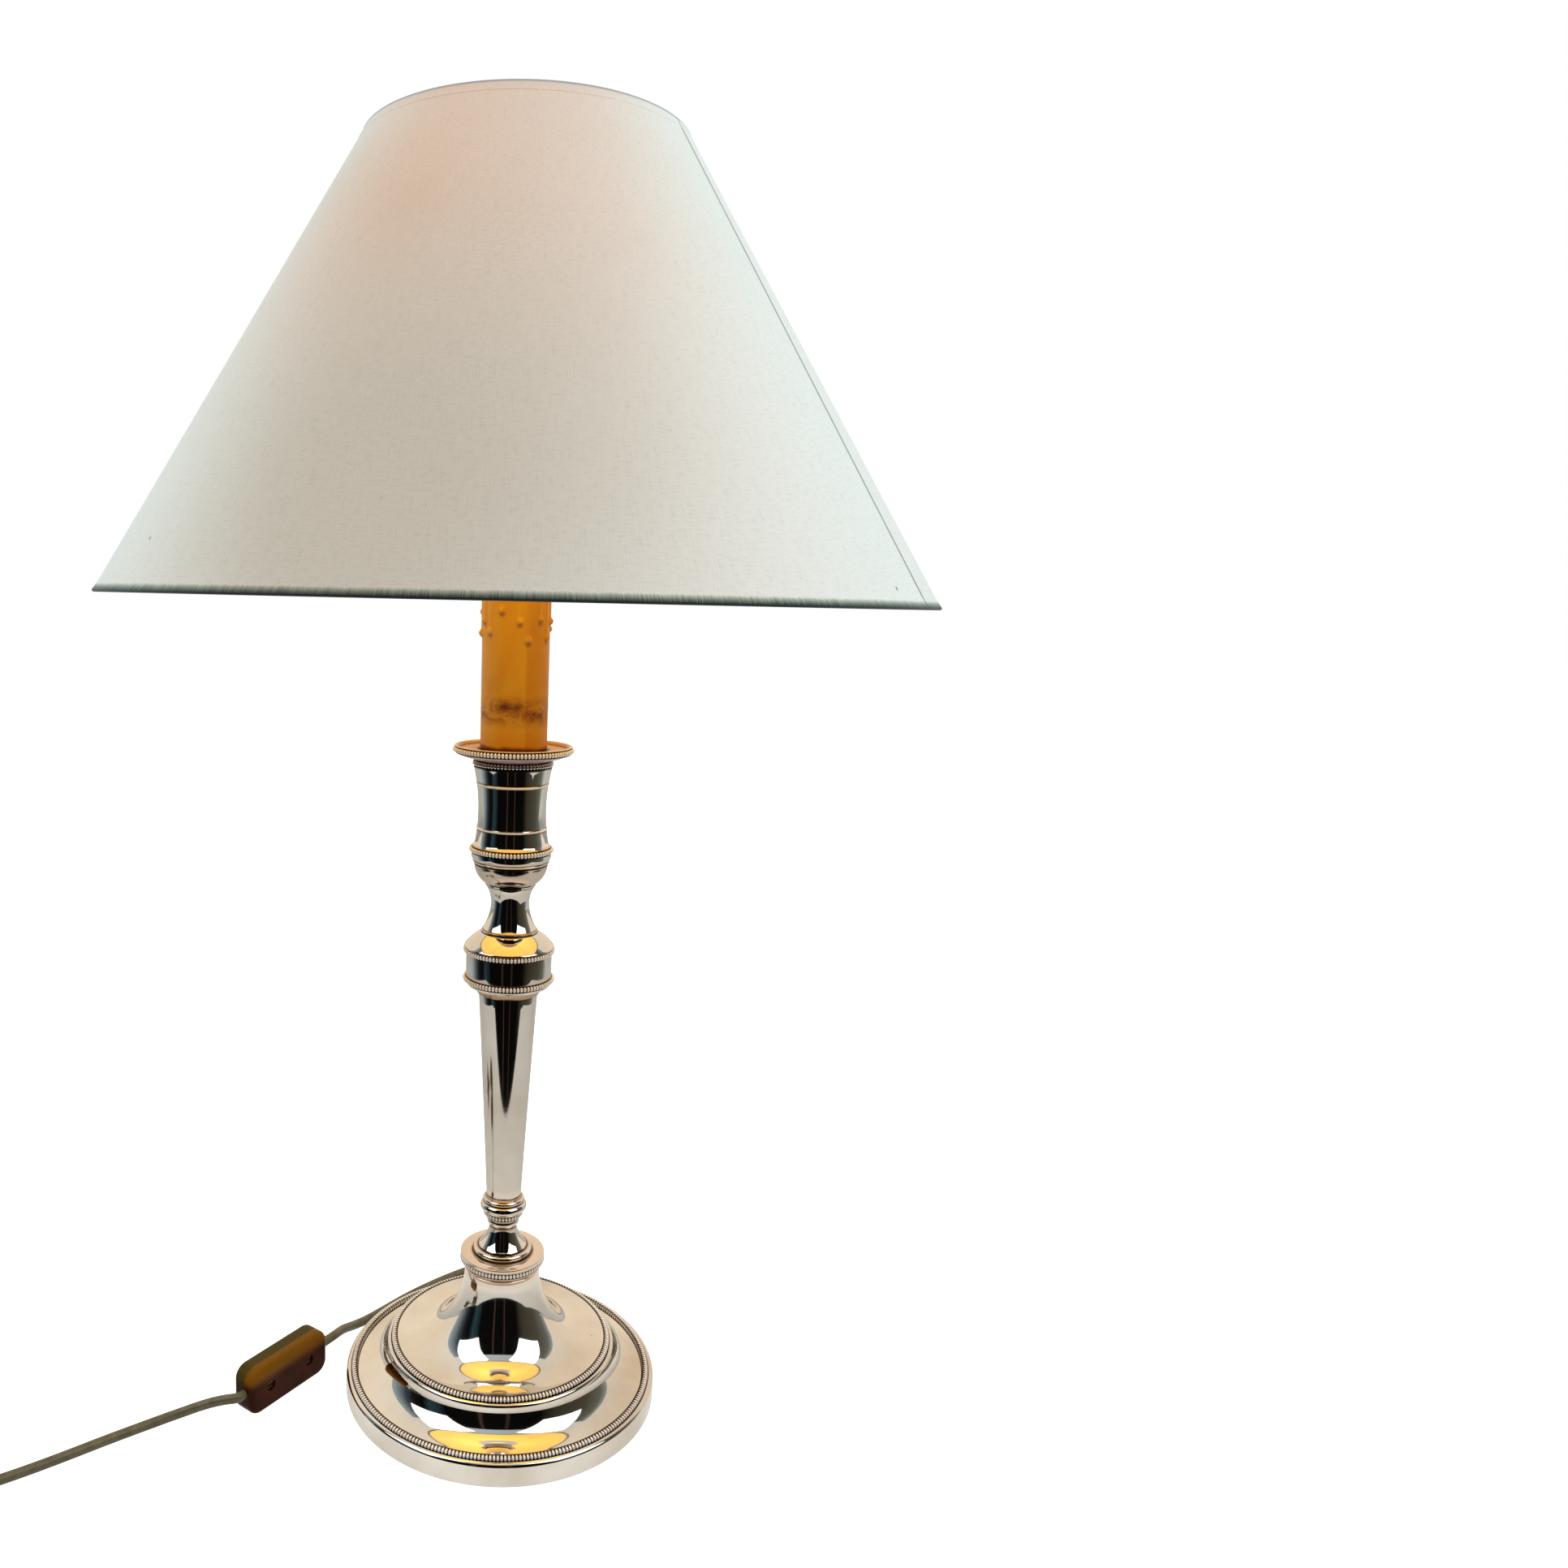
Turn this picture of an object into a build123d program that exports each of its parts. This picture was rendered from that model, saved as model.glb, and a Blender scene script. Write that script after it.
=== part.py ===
"""Candlestick table lamp: silver-plated stem and base, candle sleeve, conical fabric shade, flex with switch.

Millimetres, +Z up. The origin is the centre of the foot on the surface that the lamp stands on.
"""
from build123d import *
import math
import os

os.makedirs("parts", exist_ok=True)

# ---------------------------------------------------------------- driving dimensions
# Fits
BORE_GAP = 0.1          # radial clearance of the tie rod in the stem's pieces
SEAT_GAP = 0.05         # clearance of a piece in its seat
RUN_GAP = 0.06          # radial running clearance of pieces that turn
FACE_GAP = 0.1          # axial running clearance

# Foot, from the band's outer radius inwards
BASE_R = 64.0           # outer radius of the base's band
BASE_LIFT = 0.4         # band's lower edge above the table
SHELL_T = 1.2           # wall of the spun base
COVER_T = 1.5
COVER_R = BASE_R - SHELL_T - 0.9
FELT_T = 1.0
FELT_R = COVER_R - 1.9
BAND_TOP_Z = 7.7        # where the band starts to round over
BAND_LIP_Z = 9.5
BAND_W = 4.1            # from the band's face in to the seat of the outer bead ring
OUTER_SEAT_R = BASE_R - BAND_W
OUTER_SEAT_Z = 8.7
CHANNEL_Z = 10.1        # hollow channel's outer edge
CHANNEL_W = 12.9        # hollow channel between the band's beads and the dome's step
CHANNEL_MID = (OUTER_SEAT_R - 7.7, 10.6)
STEP_R = OUTER_SEAT_R - CHANNEL_W
STEP_FOOT_Z = 14.8
STEP_LIP_Z = 21.4
STEP_W = 3.6            # from the step's wall in to the seat of the inner bead ring
INNER_SEAT_R = STEP_R - STEP_W
INNER_SEAT_Z = 20.8
DOME_EDGE_Z = 22.9      # dome at the inner bead ring
PILLAR_R = 15.4         # narrow part of the base
PILLAR_FOOT_Z = 40.0    # where the dome's sweep runs into the pillar
PILLAR_TOP_Z = 50.0
WEIGHT_R = STEP_R - 2.5
WEIGHT_HUB_R = 21.0
WEIGHT_HUB_Z = 25.5
WEIGHT_WEB = 8.0        # thickness of the iron that the nut pulls on
WEIGHT_POCKET_R = 14.0
COVER_SCREW_R = 1.5
COVER_SCREW_AT = 33.0
COVER_SCREW_L = 9.0

# Stem, from the bottom up: heights and radii of the pieces
COLLAR_H = 9.2
COLLAR_R = 17.3
COLLAR_SEAT_R = 16.1
COLLAR_SPIGOT = 3.5
BELL_H = 11.4
BELL_R = 12.0
BELL_WAIST_R = 9.5
NECK_R = 5.7            # thinnest place of the stem
KNOB_H = 13.4
KNOB_R = 9.45
KNOB_SEAT_R = 6.9
COLUMN_H = 86.0
COLUMN_R0 = 7.1
COLUMN_R1 = 11.8
COLUMN_WALL = 1.6
STEM_PLATE = 3.0        # thickness of the hollow pieces' ends
DRUM_H = 25.0
DRUM_R = 17.1
DRUM_SEAT_R = 16.95
DRUM_WALL = 2.2
WAIST_H = 18.6
WAIST_R = 7.6
WAIST_FOOT_R = 11.2
WAIST_TOP_R = 9.7
CUP_H = 50.0
CUP_R = 13.35           # narrow middle of the candle cup
CUP_NARROW_Z = 29.6     # its height above the cup's foot
CUP_BOWL_R = 15.6
CUP_TOP_R = 15.3
CUP_SEAT_R = 15.3       # lower bead ring
CUP_TOP_SEAT_R = 14.5   # upper bead ring
CUP_WALL = 1.3
PAN_H = 5.7
PAN_R = 23.0
PAN_SEAT_R = 22.2
PAN_FLOOR = 4.2         # floor of the pan above its underside
PAN_PLATE = 1.4

# Bead rings: how far they stand out of the seat, and their height
BEAD_OUT = 1.35
BEAD_H = 2.2
BASE_BEAD_OUT = 1.9
BEAD_LIP = 0.35         # edge of the seat beyond the beads

# Tie rod and its nuts
ROD_R = 4.0
ROD_BORE_R = 2.8
ROD_TAIL = 1.2          # rod below the lower nut
ROD_OVER = 7.0          # rod above the candle sleeve
NUT_AF = 13.0
NUT_H = 5.0
WASHER_T = 1.5
WASHER_R = 9.0
SLEEVE_WASHER_T = 1.5

# Candle sleeve and its drips: degrees clockwise from the front as seen from above, and length
SLEEVE_R = 13.0
SLEEVE_T = 1.4
SLEEVE_H = 66.0
DRIP_R = 1.2
DRIPS = (
    (-84, 23), (-66, 18), (-48, 22), (-24, 14), (6, 18), (21, 25), (44, 17), (62, 24), (80, 18),
    (104, 21), (122, 15), (143, 25), (160, 17), (180, 22), (203, 14), (221, 24), (240, 19), (257, 15),
)

# Lamp holder for a 14 mm screw cap
HOLDER_GAP = 0.3        # between sleeve and holder
HOLDER_R = 14.0
HOLDER_CAP_H = 18.0
HOLDER_MANTLE_H = 37.7
HOLDER_WALL = 1.6
HOLDER_FLOOR = 2.4
HOLDER_LIP_R = 8.8
HOLDER_LIP_T = 1.2
ENTRY_R = 5.0           # threaded entry
ENTRY_H = 8.0
FLANGE_R = 7.5
FLANGE_H = 2.2
INSERT_R = 11.0
INSERT_H = 17.0
INSERT_FLOOR = 10.0
CONTACT_R = 3.0
CONTACT_T = 0.8
SHELL_BORE_R = 7.0
SHELL_WALL = 0.5
SHELL_H = 20.0
SHELL_SEAT = 1.6        # shoulder under the screw shell, above the insert's floor

# Shade ring nuts, carrier and shade
RING_NUT_R = 19.5
RING_NUT_H = 3.5
RING_LIFT = 1.0         # lower ring nut above the mantle's foot
CARRIER_T = 1.2
CARRIER_R = 22.5
ARM_COUNT = 3
WIRE_R = 1.5
SHADE_Z0 = 325.2
SHADE_H = 161.2
SHADE_R0 = 153.2
SHADE_R1 = 59.1
SHADE_T = 0.58          # measured level
HEM_T = 0.5
HEM_BAND = 3.4
HEM_TURN = 1.2          # inner edge of the hem above the wire's middle

# Bulb: 45 mm golf ball with a 14 mm screw cap
BULB_R = 22.5
BULB_LENGTH = 78.0
BULB_CAP_R = 6.92
BULB_CAP_H = 18.0
BULB_RIDGE = 2.82       # pitch of the cap's thread
BULB_RIDGE_H = 0.35
BULB_TIP_R = 2.2
BULB_TIP_T = 0.8
BULB_INSULATOR_H = 2.7
BULB_NECK_R = 6.1
GLASS_T = 0.9
TIP_GAP = 0.3           # tip contact over the holder's centre contact

# Flex, gland
FLEX_R = 1.9
EXIT_AZ = 12.0          # degrees from straight back towards the right
EXIT_Z = 5.0
GLAND_IN = WEIGHT_R + 1.0   # inner and outer end of the gland, from the lamp's axis
GLAND_OUT = BASE_R + 1.5
GLAND_R = 2.3
GLAND_NOSE_R = 2.6
GLAND_LIP_R = 3.4
CABLE_BEND_R = 7.6
CABLE_SLOT = 9.0        # width of the weight's slot

# In-line switch, lying on its narrow side; the shells part at the flex's middle
SWITCH_L = 42.0
SWITCH_W = 19.0
SWITCH_FRONT = 4.4      # thickness of the screwed shell
SWITCH_BACK = 6.4       # thickness of the shell with the rocker
SWITCH_WALL = 1.4
SWITCH_CORNER = 5.5
SWITCH_ROUND = 2.2
SWITCH_AT = (-89.2, -9.9)
SWITCH_TURN = 53.5      # degrees of its length from +X
SCREW_AT = 10.5
SCREW_R = 1.2
SCREW_HEAD_R = 2.1
SCREW_HEAD_H = 1.3
SCREW_SINK = 0.9
POST_R = 2.9
ROCKER_L = 13.2
ROCKER_W = 8.0
ROCKER_PIN_R = 1.0
ROCKER_PIN_L = 1.4
ROCKER_DEPTH = 3.6      # pivot behind the parting plane
ROCKER_TILT = 7.0       # degrees to either side
ROCKER_END = 1.2        # rocker's ends proud of the shell when level
WINDOW_GAP = 0.9        # at each end of the rocker

# Spare flex, coiled clockwise from where it comes in to where it leaves for the plug
COIL_AT = (-226.2, -62.3)
COIL_R = 27.6           # middle of the outer turn
COIL_PITCH = 4.9        # turn to turn
COIL_LAYER = 4.7        # layer to layer
COIL_LAYERS = 4
COIL_TURNS = 10         # whole turns
COIL_IN = 301.0         # degrees from +X where the flex comes in
COIL_OUT = 190.0
TIE_T = 0.5
TIE_W = 8.0
TIE_GAP = 0.28
TIE_AT = 60.0           # degrees from +X

# Plug: flat two-pin, lying on the table behind the coil
PLUG_W = 35.0
PLUG_T = 13.7
PLUG_L = 34.0
PLUG_NECK_W = 15.0
PLUG_ROUND = 2.5
TAIL_L = 14.0
TAIL_R0 = 4.6
TAIL_R1 = 2.7
PIN_R = 2.0
PIN_L = 19.0
PIN_CORE_R = 1.6
PIN_SLEEVE_L = 10.0
PIN_SPACING = 18.6

EXIT_RUN = 5.5          # straight flex outside the gland
SWITCH_RUN = (8.0, 3.2)     # straight flex at the switch's near and far end
# Flex round the foot: degrees from +X, distance outside the band, height
FLEX_FOOT = (
    (82.44, 16.32, 3.6), (89.09, 21.65, 2.3), (96.44, 21.95, 1.9), (110.04, 13.92, 1.9), (126.55, 8.2, 1.92),
    (140.65, 6.35, 1.9), (149.12, 7.31, 2.1), (155.7, 8.42, 3.8), (162.11, 8.93, 6.9),
)
# Flex from the switch to the coil
FLEX_COIL = (
    (-109.6, -28.9, 8.4), (-117.1, -28.9, 6.2), (-125.9, -30.2, 3.4), (-134.1, -33.4, 2.0),
    (-150.3, -44.6, 1.9), (-162.3, -53.63, 1.92), (-173.7, -61.76, 1.9), (-186.18, -70.08, 2.1),
    (-199.3, -78.34, 2.75), (-208.73, -84.0, 2.75),
)
# Flex from the coil to the plug
FLEX_PLUG = (
    (-254.04, -63.35, 16.85), (-255.78, -53.5, 16.85), (-256.25, -37.5, 12.6), (-256.3, -22.0, 8.1),
    (-256.2, -11.0, 6.85), (-256.2, -1.5, 6.85),
)


# ---------------------------------------------------------------- small tools
def outline(start, *steps):
    """Closed face from a start point and steps: a point for a line, (mid, end) for an arc, or an edge."""
    edges, here = [], start
    for step in (*steps, start):
        if isinstance(step, Edge):
            edges.append(step)
            here = (step @ 1).X, (step @ 1).Y
        elif isinstance(step[0], tuple):
            edges.append(ThreePointArc(here, step[0], step[1]))
            here = step[1]
        elif math.dist(here, step) > 1e-6:
            edges.append(Line(here, step))
            here = step
    return make_face(edges)


def turned(*steps):
    """Solid of revolution about Z from an outline in (radius, height)."""
    return revolve(Plane.XZ * outline(*steps), Axis.Z)


def tube(r_in, r_out, z0, z1):
    return turned((r_in, z0), (r_out, z0), (r_out, z1), (r_in, z1))


def disc(r, z0, z1):
    return Pos(0, 0, (z0 + z1) / 2) * Cylinder(r, z1 - z0)


def around(azimuth, r):
    """Place at an angle in degrees from +X and a radius from the lamp's axis."""
    return Rot(0, 0, azimuth) * Pos(r, 0, 0)


def bead_ring(seat_r, z0, height=BEAD_H, out=BEAD_OUT):
    """Plain ring over which the beads stand: flat in its seat, round outside."""
    return turned(
        (seat_r, z0),
        (seat_r + out / 2, z0),
        ((seat_r + out, z0 + height / 2), (seat_r + out / 2, z0 + height)),
        (seat_r, z0 + height),
    )


def nut(z0):
    body = extrude(RegularPolygon(NUT_AF / 2, 6, major_radius=False), NUT_H)
    return Pos(0, 0, z0) * (body - Cylinder(ROD_R + SEAT_GAP, 3 * NUT_H))


def corner_radii(points):
    """Largest arc at each corner: 0.45 of the shorter run, or 0.9 of an end run, which has no arc beyond it."""
    runs = [math.dist(a, b) for a, b in zip(points, points[1:])]
    share = [0.9 if i in (0, len(runs) - 1) else 0.45 for i in range(len(runs))]
    radii = []
    for i in range(1, len(points) - 1):
        before = Vector(*points[i]) - Vector(*points[i - 1])
        after = Vector(*points[i + 1]) - Vector(*points[i])
        reach = min(runs[i - 1] * share[i - 1], runs[i] * share[i], 0.45 * max(runs[i - 1], runs[i]))
        radii.append(reach / math.tan(math.radians(before.get_angle(after) / 2)))
    return radii


def flex(points, r=FLEX_R, radii=None):
    """Round cable along straight runs with tangent arcs."""
    radii = radii or corner_radii(points)
    path = FilletPolyline(*points, radius=radii)
    start = Vector(*points[0])
    solid = sweep(Plane(start, z_dir=Vector(*points[1]) - start) * Circle(r), path=path)
    ratio = solid.volume / (math.pi * r * r * path.length)
    print(f"  flex {path.length:.1f} long, volume ratio {ratio:.4f}, radii", [round(v, 1) for v in radii])
    return solid, path.length


def biarc(p0, t0, p1, t1):
    """Two arcs from p0 to p1 that leave along t0 and arrive along t1."""
    chord, both = p1 - p0, t0 + t1
    k = 2 * (1 - t0.dot(t1))
    along = chord.dot(both)
    d = (math.sqrt(along * along + k * chord.dot(chord)) - along) / k
    joint = (p0 + p1 + (t0 - t1) * d) / 2
    first = TangentArc(p0, joint, tangent=t0)
    return [first, TangentArc(joint, p1, tangent=first % 1)]


parts = {}

# ---------------------------------------------------------------- levels up the stem
cover_top = FELT_T + COVER_T
weight_rim = INNER_SEAT_Z - SHELL_T
web_z = WEIGHT_HUB_Z - WEIGHT_WEB
collar_z = PILLAR_TOP_Z
bell_z = collar_z + COLLAR_H
knob_z = bell_z + BELL_H
column_z = knob_z + KNOB_H
drum_z = column_z + COLUMN_H
waist_z = drum_z + DRUM_H
cup_z = waist_z + WAIST_H
pan_z = cup_z + CUP_H
floor_z = pan_z + PAN_FLOOR
sleeve_top = floor_z + SLEEVE_H
rod_z0 = web_z - WASHER_T - NUT_H - ROD_TAIL
rod_z1 = sleeve_top + ROD_OVER
holder_z = sleeve_top + HOLDER_GAP
mantle_z = holder_z + HOLDER_CAP_H
mantle_top = mantle_z + HOLDER_MANTLE_H
rod_hole = ROD_R + BORE_GAP

# ---------------------------------------------------------------- foot: felt, cover plate and its screws
screw_spots = [around(60 + 120 * i, COVER_SCREW_AT) for i in range(3)]
head_r = 2 * COVER_SCREW_R
parts["felt_pad"] = disc(FELT_R, 0, FELT_T)
cover = disc(COVER_R, FELT_T, cover_top)
screws = []
for spot in screw_spots:
    sunk = Pos(0, 0, FELT_T + COVER_T / 2)
    cover -= spot * sunk * Cone(head_r + SEAT_GAP, COVER_SCREW_R + SEAT_GAP, COVER_T)
    shank = disc(COVER_SCREW_R, cover_top, FELT_T + COVER_SCREW_L)
    screws.append(spot * (sunk * Cone(head_r, COVER_SCREW_R, COVER_T) + shank))
parts["cover_plate"] = cover
parts["cover_screws"] = Compound(children=screws)

# ---------------------------------------------------------------- base shell, spun from sheet
outer_lip_r = OUTER_SEAT_R + BASE_BEAD_OUT + BEAD_LIP
inner_lip_r = INNER_SEAT_R + BASE_BEAD_OUT + BEAD_LIP
dome_rx, dome_ry = INNER_SEAT_R - PILLAR_R, PILLAR_FOOT_Z - DOME_EDGE_Z
dome_mid = (INNER_SEAT_R, PILLAR_FOOT_Z)
dome = EllipticalCenterArc(dome_mid, dome_rx, dome_ry, 270, arc_size=-90)
lining = EllipticalCenterArc(dome_mid, dome_rx + SHELL_T, dome_ry + SHELL_T, 180, arc_size=86)
channel_in, channel_out = (STEP_R, STEP_FOOT_Z), (OUTER_SEAT_R, CHANNEL_Z)
channel = ThreePointArc(channel_out, CHANNEL_MID, channel_in)
under = channel.radius + SHELL_T


def below(r):
    """Point of the channel's lower face at a radius."""
    middle = channel.arc_center
    return r, middle.Y - math.sqrt(under ** 2 - (r - middle.X) ** 2)


channel_r = (STEP_R + OUTER_SEAT_R) / 2
shell = turned(
    (BASE_R, BASE_LIFT),
    (BASE_R, BAND_TOP_Z),
    ((BASE_R - 0.5, BAND_TOP_Z + 1.3), (outer_lip_r, BAND_LIP_Z)),
    (outer_lip_r, OUTER_SEAT_Z),
    (OUTER_SEAT_R, OUTER_SEAT_Z),
    channel_out,
    channel,
    (STEP_R, STEP_LIP_Z - 1.5),
    ((STEP_R - 0.4, STEP_LIP_Z - 0.4), (inner_lip_r, STEP_LIP_Z)),
    (inner_lip_r, INNER_SEAT_Z),
    (INNER_SEAT_R, INNER_SEAT_Z),
    (INNER_SEAT_R, DOME_EDGE_Z),
    dome,
    (PILLAR_R, PILLAR_TOP_Z),
    (PILLAR_R - SHELL_T, PILLAR_TOP_Z),
    (PILLAR_R - SHELL_T, PILLAR_FOOT_Z),
    lining,
    ((lining @ 1).X, weight_rim),
    (STEP_R - SHELL_T, weight_rim),
    below(STEP_R - SHELL_T),
    (below(channel_r), below(OUTER_SEAT_R - SHELL_T)),
    (OUTER_SEAT_R - SHELL_T, OUTER_SEAT_Z - SHELL_T),
    (BASE_R - SHELL_T, OUTER_SEAT_Z - SHELL_T),
    (BASE_R - SHELL_T, BASE_LIFT),
)
exit_line = around(90 - EXIT_AZ, 0) * Pos(0, 0, EXIT_Z) * Rot(0, 90, 0)


def on_exit(r, x0, x1):
    """Round piece on the line of the gland, between two distances from the lamp's axis."""
    return exit_line * Pos(0, 0, (x0 + x1) / 2) * Cylinder(r, x1 - x0)


parts["base_shell"] = shell - on_exit(GLAND_NOSE_R + SEAT_GAP, BASE_R - 2 * SHELL_T, BASE_R + 1)
outer_ring = bead_ring(OUTER_SEAT_R + SEAT_GAP, OUTER_SEAT_Z, BEAD_H, BASE_BEAD_OUT)
inner_ring = bead_ring(INNER_SEAT_R + SEAT_GAP, INNER_SEAT_Z, BEAD_H, BASE_BEAD_OUT)
parts["base_bead_rings"] = Compound(children=[outer_ring, inner_ring])

# ---------------------------------------------------------------- cast weight, washer, gland
weight = turned(
    (rod_hole, web_z),
    (WEIGHT_POCKET_R, web_z),
    (WEIGHT_POCKET_R, cover_top),
    (WEIGHT_R, cover_top),
    (WEIGHT_R, weight_rim),
    (WEIGHT_HUB_R + 6, weight_rim),
    (WEIGHT_HUB_R, WEIGHT_HUB_Z),
    (rod_hole, WEIGHT_HUB_Z),
)
slot_h = 2 * (EXIT_Z - cover_top) + 1
weight -= exit_line * Pos(0, 0, WEIGHT_R / 2 + 5) * Box(slot_h, CABLE_SLOT, WEIGHT_R + 10)
for spot in screw_spots:
    weight -= spot * disc(COVER_SCREW_R + SEAT_GAP, cover_top - 1, FELT_T + COVER_SCREW_L + 1)
parts["base_weight"] = weight
parts["washer"] = tube(rod_hole, WASHER_R, web_z - WASHER_T, web_z)
parts["cable_gland"] = (
    on_exit(GLAND_R, GLAND_IN, BASE_R - SHELL_T - 0.5)
    + on_exit(GLAND_NOSE_R, BASE_R - SHELL_T - 0.5, GLAND_OUT)
    + on_exit(GLAND_LIP_R, BASE_R + SEAT_GAP, GLAND_OUT - 0.5)
)

# ---------------------------------------------------------------- collar on the pillar
seat0, seat1 = collar_z + 5.1, collar_z + 5.1 + BEAD_H + 2 * SEAT_GAP
spigot_r = PILLAR_R - SHELL_T - BORE_GAP
parts["base_collar"] = turned(
    (rod_hole, bell_z),
    (COLLAR_R - 0.3, bell_z),
    (COLLAR_R, bell_z - 0.3),
    (COLLAR_R, seat1),
    (COLLAR_SEAT_R, seat1),
    (COLLAR_SEAT_R, seat0),
    (COLLAR_SEAT_R + 0.5, seat0),
    (COLLAR_SEAT_R + 0.3, seat0 - 0.9),
    ((COLLAR_SEAT_R - 0.25, collar_z + 2), (PILLAR_R, collar_z)),
    (spigot_r, collar_z),
    (spigot_r, collar_z - COLLAR_SPIGOT),
    (spigot_r - SHELL_T, collar_z - COLLAR_SPIGOT),
    (spigot_r - SHELL_T, bell_z - STEM_PLATE),
    (rod_hole, bell_z - STEM_PLATE),
)
parts["collar_bead_ring"] = bead_ring(COLLAR_SEAT_R + SEAT_GAP, seat0 + SEAT_GAP)

# ---------------------------------------------------------------- bell foot and knob
parts["bell_foot"] = turned(
    (rod_hole, bell_z),
    (BELL_R - 0.6, bell_z),
    ((BELL_R, bell_z + 1.1), (BELL_R - 0.6, bell_z + 2.2)),
    (BELL_WAIST_R + 0.5, bell_z + 2.4),
    (BELL_WAIST_R, bell_z + 3.4),
    ((BELL_WAIST_R - 1.2, knob_z - 4.4), (NECK_R, knob_z - 1.5)),
    (NECK_R, knob_z),
    (rod_hole, knob_z),
)
seat0, seat1 = knob_z + 4.3, knob_z + 4.3 + BEAD_H + 2 * SEAT_GAP
parts["knob"] = turned(
    (rod_hole, knob_z),
    (NECK_R, knob_z),
    ((NECK_R + 0.9, knob_z + 1.8), (NECK_R + 0.6, knob_z + 3.0)),
    (KNOB_SEAT_R + 0.5, seat0),
    (KNOB_SEAT_R, seat0),
    (KNOB_SEAT_R, seat1),
    (KNOB_R - 0.9, seat1),
    ((KNOB_R, knob_z + 8.4), (KNOB_R - 0.9, knob_z + 10.3)),
    (KNOB_R - 1.5, knob_z + 10.6),
    ((KNOB_R - 0.95, knob_z + 11.4), (COLUMN_R0 + 0.5, knob_z + 12.5)),
    (COLUMN_R0, column_z),
    (rod_hole, column_z),
)
parts["knob_bead_ring"] = bead_ring(KNOB_SEAT_R + SEAT_GAP, seat0 + SEAT_GAP)

# ---------------------------------------------------------------- tapered column
column_mid = ((COLUMN_R0 + COLUMN_R1) / 2 - 0.1, (column_z + drum_z) / 2)
parts["column"] = turned(
    (rod_hole, column_z),
    (COLUMN_R0, column_z),
    (column_mid, (COLUMN_R1, drum_z)),
    (rod_hole, drum_z),
    (rod_hole, drum_z - STEM_PLATE),
    (COLUMN_R1 - COLUMN_WALL - 0.2, drum_z - STEM_PLATE),
    (COLUMN_R0 - COLUMN_WALL, column_z + STEM_PLATE),
    (rod_hole, column_z + STEM_PLATE),
)

# ---------------------------------------------------------------- drum with two bead rings
low0 = drum_z + 4.8
low1 = low0 + BEAD_H + 2 * SEAT_GAP
high0 = waist_z - 8.5
high1 = high0 + BEAD_H + 2 * SEAT_GAP
parts["drum"] = turned(
    (rod_hole, drum_z),
    (COLUMN_R1 + 0.7, drum_z),
    (COLUMN_R1 + 1.1, drum_z + 2.6),
    (DRUM_R - 2.4, drum_z + 2.9),
    ((DRUM_R - 0.5, drum_z + 3.5), (DRUM_R, low0)),
    (DRUM_SEAT_R, low0),
    (DRUM_SEAT_R, low1),
    (DRUM_R, low1),
    (DRUM_R, high0),
    (DRUM_SEAT_R, high0),
    (DRUM_SEAT_R, high1),
    (DRUM_R + 0.8, high1),
    (DRUM_R + 0.8, high1 + 0.5),
    ((WAIST_FOOT_R + 4.0, waist_z - 2.8), (WAIST_FOOT_R, waist_z)),
    (rod_hole, waist_z),
    (rod_hole, waist_z - STEM_PLATE),
    (WAIST_FOOT_R - 1.2, waist_z - STEM_PLATE),
    (DRUM_R - DRUM_WALL, high0 + 1.8),
    (DRUM_R - DRUM_WALL, drum_z + 5.6),
    (COLUMN_R1 - 0.8, drum_z + STEM_PLATE),
    (rod_hole, drum_z + STEM_PLATE),
)
parts["drum_bead_rings"] = Compound(
    children=[bead_ring(DRUM_SEAT_R + SEAT_GAP, z + SEAT_GAP) for z in (low0, high0)]
)

# ---------------------------------------------------------------- waist between drum and cup
parts["waist"] = turned(
    (rod_hole, waist_z),
    (WAIST_FOOT_R, waist_z),
    (WAIST_FOOT_R, waist_z + 0.7),
    ((WAIST_R + 1.0, waist_z + 5.8), (WAIST_R, waist_z + 11)),
    ((WAIST_R + 0.5, waist_z + 15), (WAIST_TOP_R, cup_z)),
    (rod_hole, cup_z),
)

# ---------------------------------------------------------------- candle cup
low0 = cup_z + 13.6
low1 = low0 + BEAD_H + 2 * SEAT_GAP
high0 = pan_z - 2.4
parts["candle_cup"] = turned(
    (rod_hole, cup_z),
    (WAIST_TOP_R + 0.2, cup_z),
    ((CUP_BOWL_R - 2.6, cup_z + 3.8), (CUP_BOWL_R - 1.0, cup_z + 8.7)),
    (CUP_BOWL_R - 1.2, cup_z + 9.1),
    (CUP_BOWL_R - 0.6, cup_z + 9.6),
    ((CUP_BOWL_R + 0.1, cup_z + 11.6), (CUP_BOWL_R + 0.2, low0)),
    (CUP_SEAT_R, low0),
    (CUP_SEAT_R, low1),
    (CUP_SEAT_R + 0.2, low1),
    (CUP_SEAT_R - 0.7, low1 + 1.2),
    ((CUP_R, cup_z + CUP_NARROW_Z), (CUP_TOP_R, high0 - 0.6)),
    (CUP_TOP_R, high0),
    (CUP_TOP_SEAT_R, high0),
    (CUP_TOP_SEAT_R, pan_z),
    (CUP_TOP_SEAT_R - CUP_WALL, pan_z),
    (CUP_TOP_SEAT_R - CUP_WALL, high0 - 3),
    ((CUP_R - CUP_WALL, cup_z + CUP_NARROW_Z), (CUP_SEAT_R - CUP_WALL - 1.2, low1 + 1.2)),
    (CUP_SEAT_R - CUP_WALL - 0.3, low0),
    ((CUP_BOWL_R - 3.6, cup_z + 6.4), (WAIST_TOP_R + 0.5, cup_z + STEM_PLATE)),
    (rod_hole, cup_z + STEM_PLATE),
)
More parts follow.
